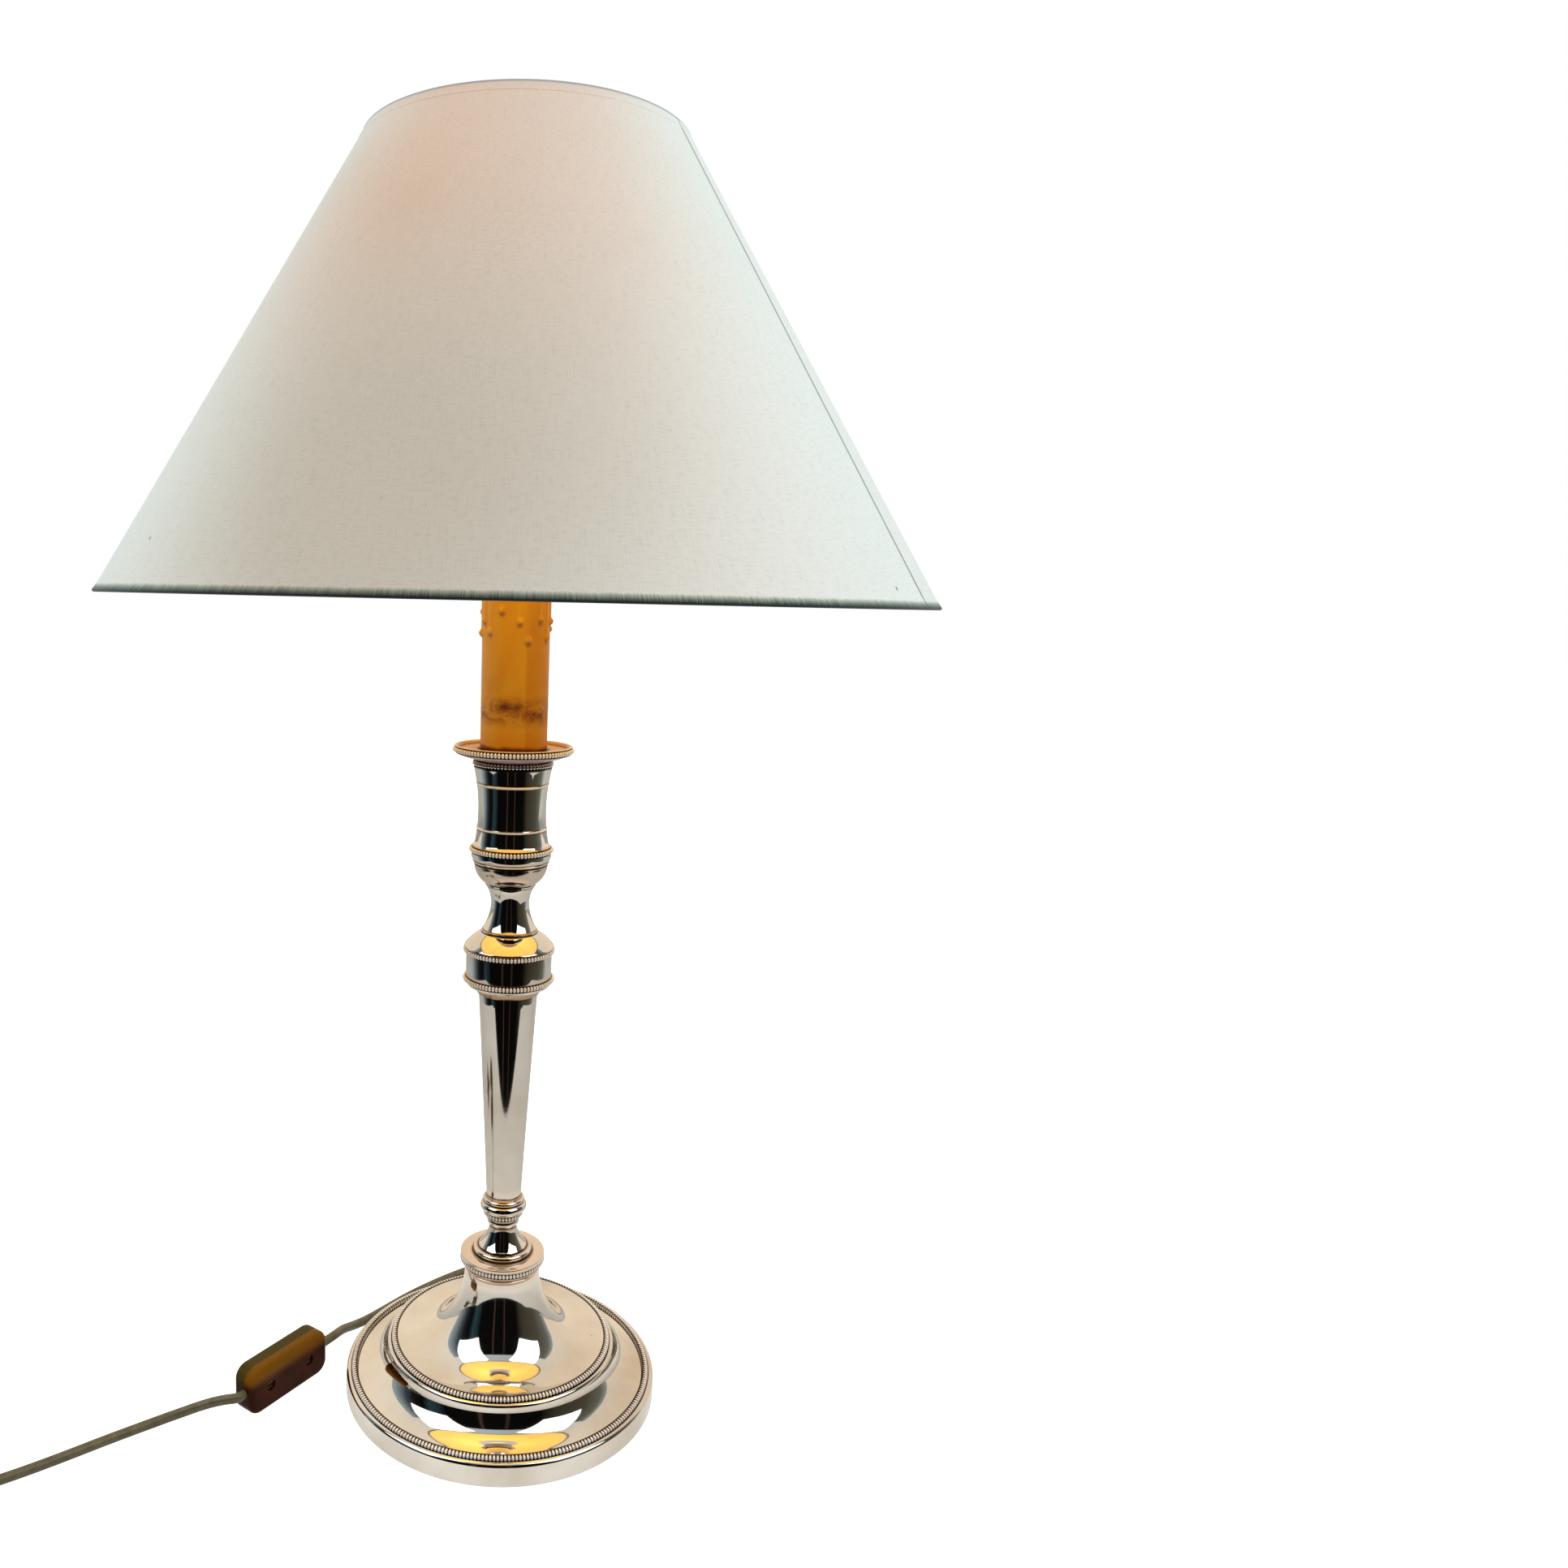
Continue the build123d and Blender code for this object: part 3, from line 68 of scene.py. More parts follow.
def add(tree, kind, links=None, stops=(), **settings):
    """A shader node with its settings, its (position, colour) stops, and a value, colour or output for its sockets."""
    new = tree.nodes.new("ShaderNode" + kind)
    for key, value in settings.items():
        setattr(new, key, value)
    if stops:
        spots = new.color_ramp.elements
        spots.remove(spots[1])
        spots[0].position, spots[0].color = stops[0][0], linear(stops[0][1])
        for position, text in stops[1:]:
            spots.new(position).color = linear(text)
    for key, value in (links or {}).items():
        if isinstance(value, bpy.types.NodeSocket):
            tree.links.new(value, new.inputs[key])
        else:
            new.inputs[key].default_value = linear(value) if isinstance(value, str) else value
    return new


def blank(name):
    """An empty material, its node tree and its output's surface socket."""
    material = bpy.data.materials.new(name)
    material.use_nodes = True
    tree = material.node_tree
    tree.nodes.clear()
    return material, tree, add(tree, "OutputMaterial")


FLEX_R = 1.9
route = [
    # from the gland round the foot to the switch
    (13.62, 64.07, 5.0), (14.76, 69.45, 5.0), (10.57, 79.62, 3.6), (1.36, 85.64, 2.3), (-9.64, 85.41, 1.9),
    (-26.7, 73.2, 1.9), (-43.0, 58.0, 1.92), (-54.4, 44.6, 1.9), (-61.2, 36.6, 2.1), (-66.0, 29.8, 3.8),
    (-69.4, 22.4, 6.9), (-71.95, 13.41, 9.5), (-76.71, 6.98, 9.5),
    # from the switch to the coil
    (-101.69, -26.78, 9.5), (-103.59, -29.35, 9.5), (-109.6, -28.9, 8.4), (-117.1, -28.9, 6.2),
    (-125.9, -30.2, 3.4), (-134.1, -33.4, 2.0), (-150.3, -44.6, 1.9), (-162.3, -53.63, 1.92),
    (-173.7, -61.76, 1.9), (-186.18, -70.08, 2.1), (-199.3, -78.34, 2.75), (-208.73, -84.0, 2.75),
]
to_plug = [
    (-254.04, -63.35, 16.85), (-255.78, -53.5, 16.85), (-256.25, -37.5, 12.6), (-256.3, -22.0, 8.1),
    (-256.2, -11.0, 6.85), (-256.2, -1.5, 6.85),
]
COIL_X, COIL_Y, COIL_Z = -226.2, -62.3, 2.75
COIL_R, TURN_PITCH, LAYER_H, LAYERS = 27.6, 4.9, 4.7, 4
COIL_START, COIL_END = 301, 190      # degrees; it winds clockwise
TURNS = 10 + (COIL_START - COIL_END) / 360
CLIMB = 0.5                          # of a turn, from one layer to the next
PER_TURN = 16
layer_turns = (TURNS - (LAYERS - 1) * CLIMB) / LAYERS
# The curve runs inside its points, so they stand this much further out than the flex's middle.
outwards = 1 / (0.75 + 0.25 * math.cos(2 * math.pi / PER_TURN))
for i in range(round(TURNS * PER_TURN) + 1):
    done = min(TURNS, i / PER_TURN)
    layer = min(int(done / (layer_turns + CLIMB)), LAYERS - 1)
    along = done - layer * (layer_turns + CLIMB)
    inwards = min(along, layer_turns) if layer % 2 == 0 else layer_turns - min(along, layer_turns)
    reach = (COIL_R - TURN_PITCH * inwards) * outwards
    angle = math.radians(COIL_START - 360 * done)
    climb = LAYER_H * (layer + max(0.0, along - layer_turns) / CLIMB)
    route.append((COIL_X + reach * math.cos(angle), COIL_Y + reach * math.sin(angle), COIL_Z + climb))
route += to_plug
curve = bpy.data.curves.new("flex", "CURVE")
curve.dimensions = "3D"
spline = curve.splines.new("NURBS")
spline.points.add(len(route) - 1)
for point, spot in zip(spline.points, route):
    point.co = (*[v * MM for v in spot], 1)
spline.order_u = 3
spline.use_endpoint_u = True
spline.resolution_u = 10
curve.bevel_depth = FLEX_R * MM
curve.bevel_resolution = 4
flex = bpy.data.objects.new("flex", curve)
bpy.context.scene.collection.objects.link(flex)


def dress(finish, *names):
    """Gives the CAD nodes of these names one finish."""
    for name in names:
        nodes[name].data.materials.clear()
        nodes[name].data.materials.append(finish)


# Extruded PVC: smooth, with a satin gloss; handling leaves it a little uneven in colour.
flex_pvc, tree, out = blank("extruded PVC, olive gold")
where = add(tree, "TexCoord").outputs["Object"]
grime = add(tree, "TexNoise", {"Vector": where, "Scale": 300.0, "Detail": 3.0}).outputs["Fac"]
tone = add(tree, "ValToRGB", {"Fac": grime}, [(0.3, "4E4830"), (0.7, "655E45")]).outputs["Color"]
body = add(tree, "BsdfPrincipled", {"Base Color": tone, "Roughness": 0.36, "IOR": 1.53})
tree.links.new(body.outputs[0], out.inputs["Surface"])
curve.materials.append(flex_pvc)
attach(flex, "lamp")
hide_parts("flex_base_to_switch", "flex_switch_to_coil", "flex_coil", "flex_coil_to_plug", "switch_leads")
dress(flex_pvc, "inner_cable")

# ---------------------------------------------------------------- table, room and lights
# The eye sees a white table in a white room. What polished metal and glass mirror is another room:
# a table that greys with distance, dark walls and floor, and two tall windows.
bpy.ops.mesh.primitive_plane_add(size=6)
table = bpy.context.object
table.name = "table_top"
laminate, tree, out = blank("white laminate")
ray = add(tree, "LightPath").outputs
where = add(tree, "TexCoord").outputs["Object"]
seen = add(tree, "Math", {0: ray["Is Camera Ray"], 1: ray["Is Glossy Ray"]}, operation="MAXIMUM")
seen = add(tree, "Math", {0: seen.outputs[0], 1: ray["Is Transmission Ray"]}, operation="MAXIMUM")
away = add(tree, "VectorMath", {0: where}, operation="LENGTH").outputs["Value"]
near = add(tree, "MapRange", {0: away, 2: 0.9}).outputs[0]
wash = add(tree, "ValToRGB", {"Fac": near}, [
    (0.0, "B6B6B6"), (0.1, "B0B0B0"), (0.19, "828282"), (0.5, "7C7C7C"), (0.75, "C0C0C0"), (1.0, "FFFFFF"),
]).outputs["Color"]
depth = add(tree, "SeparateXYZ", {0: where}).outputs["Y"]
behind = add(tree, "MapRange", {0: depth, 1: 0.06, 2: 0.3}).outputs[0]
wash = add(tree, "Mix", {0: behind, 6: wash, 7: "6A6A66"}, data_type="RGBA").outputs[2]
wash = add(tree, "Mix", {0: ray["Is Glossy Ray"], 6: "FFFFFF", 7: wash}, data_type="RGBA").outputs[2]
paint = add(tree, "Mix", {0: ray["Is Glossy Ray"], 6: "E2E4E6", 7: "ADABA4"}, data_type="RGBA").outputs[2]
top = add(tree, "BsdfDiffuse", {"Color": paint})
lift = add(tree, "Emission", {"Color": wash, "Strength": 1.0})
lit = add(tree, "AddShader", {0: top.outputs[0], 1: lift.outputs[0]})
both = add(tree, "MixShader", {0: seen.outputs[0], 1: top.outputs[0], 2: lit.outputs[0]})
tree.links.new(both.outputs[0], out.inputs["Surface"])
table.data.materials.append(laminate)

world = bpy.data.worlds.new("white room")
bpy.context.scene.world = world
world.use_nodes = True
tree = world.node_tree
tree.nodes.clear()
ray = add(tree, "LightPath").outputs
seen = add(tree, "Math", {0: ray["Is Camera Ray"], 1: ray["Is Glossy Ray"]}, operation="MAXIMUM")
seen = add(tree, "Math", {0: seen.outputs[0], 1: ray["Is Transmission Ray"]}, operation="MAXIMUM")
strength = add(tree, "MapRange", {0: seen.outputs[0], 3: 0.36, 4: 1.0})
way = add(tree, "TexCoord").outputs["Generated"]
back = add(tree, "SeparateXYZ", {0: way}).outputs["Y"]
back = add(tree, "MapRange", {0: back, 1: -0.3, 2: 0.8}).outputs[0]
walls = add(tree, "ValToRGB", {"Fac": back}, [
    (0.0, "B4BFC4"), (0.25, "D6D8D6"), (0.55, "ECE2D2"), (1.0, "F5E3CB"),
]).outputs["Color"]
air = add(tree, "Mix", {0: ray["Is Glossy Ray"], 6: "FFFFFF", 7: walls}, data_type="RGBA").outputs[2]
light = add(tree, "Background", {"Color": air, "Strength": strength.outputs[0]})
add(tree, "OutputWorld", {"Surface": light.outputs[0]})


def soft_box(name, spot, wide, high, watts, tint, mirrored):
    """A soft oblong light that faces the lamp; metal mirrors it only when told to."""
    lamp = bpy.data.lights.new(name, "AREA")
    lamp.shape = "RECTANGLE"
    lamp.size, lamp.size_y = wide, high
    lamp.energy = watts
    lamp.color = linear(tint)[:3]
    box = bpy.data.objects.new(name, lamp)
    facing = (Vector((0, 0, 0.25)) - Vector(spot)).to_track_quat("-Z", "Y").to_matrix().to_4x4()
    box.matrix_world = Matrix.Translation(spot) @ facing
    box.visible_glossy = mirrored
    bpy.context.scene.collection.objects.link(box)


soft_box("window_left", (-0.95, -0.39, 1.27), 1.0, 1.1, 6.5, "F8FCFF", True)
soft_box("window_right", (0.90, -0.50, 1.27), 1.0, 1.1, 9.0, "F2F9FF", True)
soft_box("side_left", (-1.5, 0.3, 0.7), 0.8, 0.8, 4.5, "F0F8F6", False)
soft_box("side_right", (1.5, 0.3, 0.7), 0.8, 0.8, 5.0, "F0F8F8", False)
soft_box("front", (0.0, -1.6, 1.1), 0.9, 0.6, 3.0, "FFFAF4", False)
soft_box("back", (0.0, 1.6, 1.0), 1.2, 0.8, 6.0, "FFFCF8", False)


def reflected_only(thing, surface):
    """A part of the room that nothing but a mirror shows."""
    thing.data.materials.append(surface)
    thing.visible_camera = False
    thing.visible_diffuse = False
    thing.visible_shadow = False
    thing.visible_transmission = False


# The dark side of the room: black in the middle, a blue-grey curtain at the left, an olive one at the right.
dark_room, tree, out = blank("dark room")
where = add(tree, "TexCoord").outputs["Object"]
xyz = add(tree, "SeparateXYZ", {0: where})
ahead = add(tree, "Math", {0: xyz.outputs["Y"], 1: -1.0}, operation="MULTIPLY").outputs[0]
bearing = add(tree, "Math", {0: xyz.outputs["X"], 1: ahead}, operation="ARCTAN2").outputs[0]
side = add(tree, "MapRange", {0: bearing, 1: math.radians(-115), 2: math.radians(115)}).outputs[0]
walls = add(tree, "ValToRGB", {"Fac": side}, [
    (0.0, "B4BFC4"), (0.05, "849196"), (0.1, "3E484C"), (0.14, "15181B"), (0.19, "09090A"), (0.225, "2B4048"),
    (0.265, "1E2E36"), (0.29, "09090A"), (0.42, "0B0909"), (0.43, "4A3A34"), (0.44, "0B0909"), (0.525, "0B0909"),
    (0.535, "40322C"), (0.545, "0B0909"), (0.66, "0A0A09"), (0.72, "3A372D"), (0.86, "4E4B3F"), (0.94, "6B6C64"),
    (1.0, "B4BFC4"),
]).outputs["Color"]
cloth = add(tree, "Emission", {"Color": walls, "Strength": 1.0})
tree.links.new(cloth.outputs[0], out.inputs["Surface"])
ROOM_R, ROOM_LOW, ROOM_HIGH, ROOM_SIDE = 1.9, -0.2, 1.62, 111
bpy.ops.mesh.primitive_uv_sphere_add(segments=72, ring_count=36, radius=ROOM_R)
surround = bpy.context.object
surround.name = "dark_surround"
bpy.ops.object.mode_set(mode="EDIT")
bpy.ops.mesh.select_mode(type="VERT")
bpy.ops.mesh.select_all(action="DESELECT")
bpy.ops.object.mode_set(mode="OBJECT")
for vertex in surround.data.vertices:
    azimuth = math.degrees(math.atan2(vertex.co.x, -vertex.co.y))
    vertex.select = vertex.co.z < ROOM_LOW or vertex.co.z > ROOM_HIGH or abs(azimuth) > ROOM_SIDE
bpy.ops.object.mode_set(mode="EDIT")
bpy.ops.mesh.delete(type="VERT")
bpy.ops.object.mode_set(mode="OBJECT")
reflected_only(surround, dark_room)
# Beyond the table's front and side edges the floor is dark too.
TABLE_FRONT, TABLE_LEFT, TABLE_RIGHT, FLOOR_Z = -0.218, -0.42, 0.46, 0.0012
for name, x0, x1, y0, y1 in (
    ("dark_floor_front", -ROOM_R, ROOM_R, -ROOM_R, TABLE_FRONT),
    ("dark_floor_left", -ROOM_R, TABLE_LEFT, TABLE_FRONT, 0.5),
    ("dark_floor_right", TABLE_RIGHT, ROOM_R, TABLE_FRONT, 0.3),
):
    bpy.ops.mesh.primitive_plane_add(size=1)
    dark_floor = bpy.context.object
    dark_floor.name = name
    for vertex in dark_floor.data.vertices:
        vertex.co = (x0 + (x1 - x0) * (vertex.co.x + 0.5), y0 + (y1 - y0) * (vertex.co.y + 0.5), FLOOR_Z)
    reflected_only(dark_floor, dark_room)

# ---------------------------------------------------------------- foot
# Sheet brass spun over a former in two steps and silver plated, with a weight and a felt under it.
# Two rows of beads are rolled from strip and soldered into seats at the edges of the steps.
def bow(start, middle, end, count):
    """Points of the arc from start through middle to end, without the start."""
    ax, ay = middle[0] - start[0], middle[1] - start[1]
    bx, by = end[0] - start[0], end[1] - start[1]
    double = 2 * (ax * by - ay * bx)
    ux = (by * (ax * ax + ay * ay) - ay * (bx * bx + by * by)) / double
    uy = (ax * (bx * bx + by * by) - bx * (ax * ax + ay * ay)) / double
    a0, a1, a2 = (math.atan2(y - uy, x - ux) for x, y in ((0, 0), (ax, ay), (bx, by)))
    sweep = (a2 - a0) % math.tau
    if (a1 - a0) % math.tau > sweep:
        sweep -= math.tau
    reach = math.hypot(ux, uy)
    angles = [a0 + sweep * (i + 1) / count for i in range(count)]
    return [(start[0] + ux + reach * math.cos(a), start[1] + uy + reach * math.sin(a)) for a in angles]


def ring_line(outline, z, out, half, dirt):
    """The rising outline with a thin raised line at a height, dark at its edges."""
    below = [spot for spot in outline if spot[1] < z - half]
    above = [spot for spot in outline if spot[1] > z + half]
    (r0, z0, _), (r1, z1, _) = below[-1], above[0]
    line = []
    for dz, dr, mark in ((-half, 0, dirt), (-half * 0.45, out, 0.0), (half * 0.45, out, 0.0), (half, 0, dirt)):
        line.append((r0 + (r1 - r0) * (z + dz - z0) / (z1 - z0) + dr, z + dz, mark))
    return below + line + above


def turn(name, steps, finish, body="lamp", sides=160, stands_for=()):
    """A piece turned about the lamp's axis. A step is (radius, height), or (middle, end, points) for an
    arc, each with the share of tarnish there as a last value if there is any."""
    outline = []
    for step in steps:
        if isinstance(step[0], tuple):
            dirt = step[3] if len(step) > 3 else 0.0
            outline += [(*spot, dirt) for spot in bow(outline[-1][:2], step[0], step[1], step[2])]
        else:
            outline.append((*step[:2], step[2] if len(step) > 2 else 0.0))
    return spin_outline(name, outline, finish, body, sides, stands_for)


def spin_outline(name, outline, finish, body="lamp", sides=160, stands_for=()):
    """Spins a closed outline of (radius, height, tarnish) about the lamp's axis."""
    bpy.ops.mesh.primitive_plane_add(size=MM)
    piece = bpy.context.object
    piece.name = piece.data.name = name
    bpy.ops.object.mode_set(mode="EDIT")
    bpy.ops.mesh.select_all(action="SELECT")
    bpy.ops.mesh.merge(type="CENTER")
    r, z = outline[0][:2]
    bpy.ops.transform.translate(value=(r * MM, 0, z * MM))
    for r1, z1, _ in outline[1:]:
        bpy.ops.mesh.extrude_region_move(TRANSFORM_OT_translate={"value": ((r1 - r) * MM, 0, (z1 - z) * MM)})
        r, z = r1, z1
    bpy.ops.object.mode_set(mode="OBJECT")
    marks = piece.data.attributes.new("tarnish", "FLOAT", "POINT")
    for vertex, mark in zip(piece.data.vertices, marks.data):
        x, _, z = vertex.co
        mark.value = min(outline, key=lambda spot: math.hypot(spot[0] * MM - x, spot[1] * MM - z))[2]
    for vertex in piece.data.vertices:
        vertex.select = vertex.index in (0, len(outline) - 1)
    bpy.ops.object.mode_set(mode="EDIT")
    bpy.ops.mesh.edge_face_add()
    bpy.ops.mesh.select_all(action="SELECT")
    bpy.ops.mesh.spin(steps=sides, angle=math.tau, center=(0, 0, 0), axis=(0, 0, 1))
    bpy.ops.mesh.select_all(action="SELECT")
    bpy.ops.mesh.remove_doubles(threshold=0.00001)
    bpy.ops.mesh.normals_make_consistent(inside=False)
    bpy.ops.object.mode_set(mode="OBJECT")
    bpy.ops.object.shade_smooth_by_angle(angle=math.radians(32))
    piece.data.materials.append(finish)
    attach(piece, body)
    if stands_for:
        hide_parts(*stands_for)
    return piece


def beads(name, rows, finish, stands_for):
    """Rows of beads on a plain strip, each row (seat radius, middle height, height, stand-out, count)."""
    made, dirt = [], 0.9
    for seat, z, high, out, count in rows:
        inner, outer, low, top = seat - 0.5, seat + out * 0.32, z - high * 0.36, z + high * 0.36
        strip = [(inner, low, dirt), (outer, low, dirt), (outer, top, dirt), (inner, top, dirt)]
        made.append(spin_outline(name + "_strip", strip, finish, sides=120))
        # A bead fills its spacing but for a hair; these are half its sizes.
        along = math.pi * (seat + out * 0.6) / count * 0.98
        half = (out * 0.66, along, high * 0.44)
        middle = ((seat + out * 0.36) * MM, 0, z * MM)
        bpy.ops.mesh.primitive_uv_sphere_add(segments=8, ring_count=6, radius=MM)
        bead = bpy.context.object
        marks = bead.data.attributes.new("tarnish", "FLOAT", "POINT")
        for vertex, mark in zip(bead.data.vertices, marks.data):
            way = vertex.co / MM
            mark.value = dirt * min(1.0, max(0.0, math.hypot(way.y, way.z * 0.7) - 0.8) * 7)
            vertex.co = [middle[i] + way[i] * half[i] * MM for i in range(3)]
        bpy.ops.object.shade_smooth()
        bpy.ops.object.mode_set(mode="EDIT")
        bpy.ops.mesh.select_all(action="SELECT")
        bpy.ops.mesh.spin(
            steps=count - 1, dupli=True, angle=math.tau * (count - 1) / count, center=(0, 0, 0), axis=(0, 0, 1)
        )
        bpy.ops.object.mode_set(mode="OBJECT")
        bead.data.materials.append(finish)
        made.append(bead)
    bpy.ops.object.select_all(action="DESELECT")
    for thing in made:
        thing.select_set(True)
        for key in list(thing.keys()):
            if key.startswith("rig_"):
                del thing[key]
        thing.parent = None
    bpy.context.view_layer.objects.active = made[0]
    bpy.ops.object.join()
    piece = bpy.context.object
    piece.name = piece.data.name = name
    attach(piece, "lamp")
    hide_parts(*stands_for)
    return piece


# Silver plate, spun and polished: a mirror with a slight warm cast. Oxide stays dark where a cloth can't
# reach, copper shows through at worn edges, and polishing leaves faint hairlines round the piece.
def silver_plate(name, bright, worn, rough, metal=1.0):
    """Silver plate with clouds of worn colour, and dark wherever the piece's tarnish says so."""
    material, tree, out = blank(name)
    where = add(tree, "TexCoord").outputs["Object"]
    tarnish = add(tree, "Attribute", attribute_name="tarnish").outputs["Fac"]
    clouds = add(tree, "TexNoise", {"Vector": where, "Scale": 28.0, "Detail": 4.0}).outputs["Fac"]
    cast = add(tree, "ValToRGB", {"Fac": clouds}, [(0.35, bright), (0.75, worn)]).outputs["Color"]
    spots = add(tree, "TexNoise", {"Vector": where, "Scale": 260.0, "Detail": 5.0}).outputs["Fac"]
    dots = add(tree, "MapRange", {0: spots, 1: 0.72, 2: 0.79, 3: 0.0, 4: 0.5}).outputs[0]
    dirt = add(tree, "Math", {0: tarnish, 1: dots}, operation="MAXIMUM").outputs[0]
    patchy = add(tree, "MapRange", {0: clouds, 1: 0.3, 2: 0.8, 3: 0.75, 4: 1.1}).outputs[0]
    dirt = add(tree, "Math", {0: dirt, 1: patchy}, operation="MULTIPLY", use_clamp=True).outputs[0]
    edge = add(tree, "ValToRGB", {"Fac": dirt}, [
        (0.0, "FFFFFF"), (0.3, "D8B79C"), (0.6, "5A3B2A"), (1.0, "16110F"),
    ]).outputs["Color"]
    tone = add(tree, "Mix", {0: 1.0, 6: cast, 7: edge}, data_type="RGBA", blend_type="MULTIPLY")
    hair = add(tree, "Mapping", {"Vector": where, "Scale": (60.0, 60.0, 2600.0)})
    lines = add(tree, "TexNoise", {"Vector": hair.outputs[0], "Scale": 1.0, "Detail": 2.0}).outputs["Fac"]
    gloss = add(tree, "MapRange", {0: lines, 1: 0.3, 2: 0.7, 3: rough * 0.8, 4: rough * 1.25}).outputs[0]
    haze = add(tree, "Math", {0: dirt, 1: 0.35, 2: gloss}, operation="MULTIPLY_ADD").outputs[0]
    bump = add(tree, "Bump", {"Height": lines, "Strength": 0.02, "Distance": 0.0001})
    body = add(tree, "BsdfPrincipled", {
        "Base Color": tone.outputs[2], "Metallic": metal, "Roughness": haze, "Normal": bump.outputs[0],
    })
    tree.links.new(body.outputs[0], out.inputs["Surface"])
    return material


silver = silver_plate("silver plate, polished", "F1EDE6", "D3C8BB", 0.055)
bead_silver = silver_plate("silver plate, rolled beads", "F4F1EA", "E4D6C8", 0.3, 0.4)

neck_and_dome = [
    (43.0, 22.6), (41.8, 22.15), (40.0, 21.85), (38.0, 21.8), (36.0, 21.95), (34.0, 22.35), (32.0, 22.95), (30.0, 23.8),
    (28.2, 24.75), (26.5, 26.0), (25.1, 27.25), (23.9, 28.5), (22.8, 29.85), (21.7, 31.3), (20.7, 32.85), (19.8, 34.5),
    (18.95, 36.2), (18.2, 38.0), (17.55, 39.75), (17.0, 41.5), (16.5, 43.3), (16.1, 45.0), (15.8, 46.6),
]
channel = [
    (59.3, 9.7), (58.0, 9.95), (56.5, 10.3), (55.0, 10.8), (53.5, 11.45), (52.1, 12.2), (50.8, 13.1), (49.7, 14.15),
    (48.8, 15.25), (48.1, 16.4), (47.55, 17.55), (47.2, 18.6),
]
turn("foot_shell", [
    (62.8, 0.4), (63.7, 0.4, 0.5), (64.0, 0.8), (64.0, 4.0), (64.0, 7.7), ((63.45, 9.05), (62.4, 9.5), 6),
    (62.1, 9.4, 0.2), (62.0, 8.9, 0.8), (60.0, 8.9, 0.8), (59.95, 9.55, 0.3),
    *channel, (47.0, 19.9), ((46.62, 21.0), (45.9, 21.4), 6),
    (45.6, 21.3, 0.2), (45.5, 20.95, 0.8), (43.5, 20.95, 0.8), (43.45, 22.4, 0.3),
    *neck_and_dome, (15.55, 48.2), (15.45, 50.0), (14.2, 50.0), (14.2, 40.0), (19.0, 30.0),
    (30.0, 23.0), (42.0, 19.6), (45.8, 19.6), (45.8, 14.0), (52.0, 9.5), (58.7, 8.6), (58.7, 7.5), (62.8, 7.5),
], silver, sides=224, stands_for=["base_shell"])
beads("foot_beads", [(59.95, 9.8, 2.2, 1.9, 272), (43.45, 21.9, 2.2, 1.9, 198)], bead_silver, ["base_bead_rings"])

# ---------------------------------------------------------------- stem, from the collar up to the pan
# Turned and cast pieces of silver-plated brass, threaded on one rod and drawn together by its nuts.
# Each has its own profile; thin raised lines and bead rows mark where they meet.
worn_silver = silver_plate("silver plate, worn thin", "ECDFD2", "E0C4AE", 0.1, 0.8)
pan_silver = silver_plate("silver plate, rubbed through to copper", "DDC2B8", "C9A79A", 0.2, 0.4)
turn("collar", [
    (4.1, 59.2), (12.4, 59.2, 0.7), (12.9, 59.05, 0.15), (13.4, 59.2), (16.9, 59.2), (17.2, 59.05), (17.3, 58.8),
    (17.3, 57.7), (17.2, 57.45, 0.6), (16.1, 57.4, 1.0), (16.1, 55.1, 1.0), (16.55, 55.05, 0.7), (16.55, 54.5),
    (16.1, 54.2, 0.3), (15.75, 53.4), ((15.52, 51.8), (15.45, 50.0), 6), (14.1, 50.0),
    (14.1, 46.5), (12.9, 46.5), (12.9, 56.2), (4.1, 56.2),
], worn_silver, stands_for=["base_collar"])
beads("collar_beads", [(16.15, 56.25, 2.2, 1.35, 74)], bead_silver, ["collar_bead_ring"])
turn("bell", [
    (4.1, 59.2), (11.3, 59.2, 0.9), ((12.0, 60.3), (11.3, 61.4), 10), (10.6, 61.55, 0.3), (10.0, 61.6, 0.8),
    (9.9, 62.0, 0.3), (9.6, 62.3),
    (9.2, 62.75), (8.6, 63.5), (8.0, 64.35), (7.4, 65.25), (6.85, 66.25), (6.35, 67.3), (6.0, 68.35), (5.75, 69.4),
    (5.7, 70.55, 0.5), (4.1, 70.6),
], silver, sides=128, stands_for=["bell_foot"])
turn("knob", [
    (4.1, 70.6), (5.6, 70.65, 0.7), (5.75, 70.8), ((6.6, 72.4), (6.35, 73.5), 8), (6.45, 73.7, 0.5),
    (7.35, 74.6), (7.4, 74.85, 0.6), (6.9, 74.9, 1.0), (6.9, 77.2, 1.0), (8.4, 77.25, 0.7),
    (8.55, 77.3, 0.1), ((9.45, 79.0), (8.6, 80.8), 12), (8.1, 81.05, 0.7), (8.0, 81.25, 0.5),
    ((8.5, 82.1), (7.65, 83.0), 8), (7.35, 83.1, 0.6), (7.1, 83.3), (7.1, 84.0, 0.4), (4.1, 84.0),
], silver, sides=128, stands_for=["knob"])
beads("knob_beads", [(6.95, 76.05, 2.2, 1.35, 36)], bead_silver, ["knob_bead_ring"])
turn("column", [
    (4.1, 84.05), (7.0, 84.05, 0.5), (7.12, 84.3), ((9.35, 127.0), (11.78, 169.6), 24), (11.7, 169.95, 0.6),
    (4.1, 169.95), (4.1, 167.0), (10.0, 167.0), (5.5, 87.0), (4.1, 87.0),
], silver, stands_for=["column"])
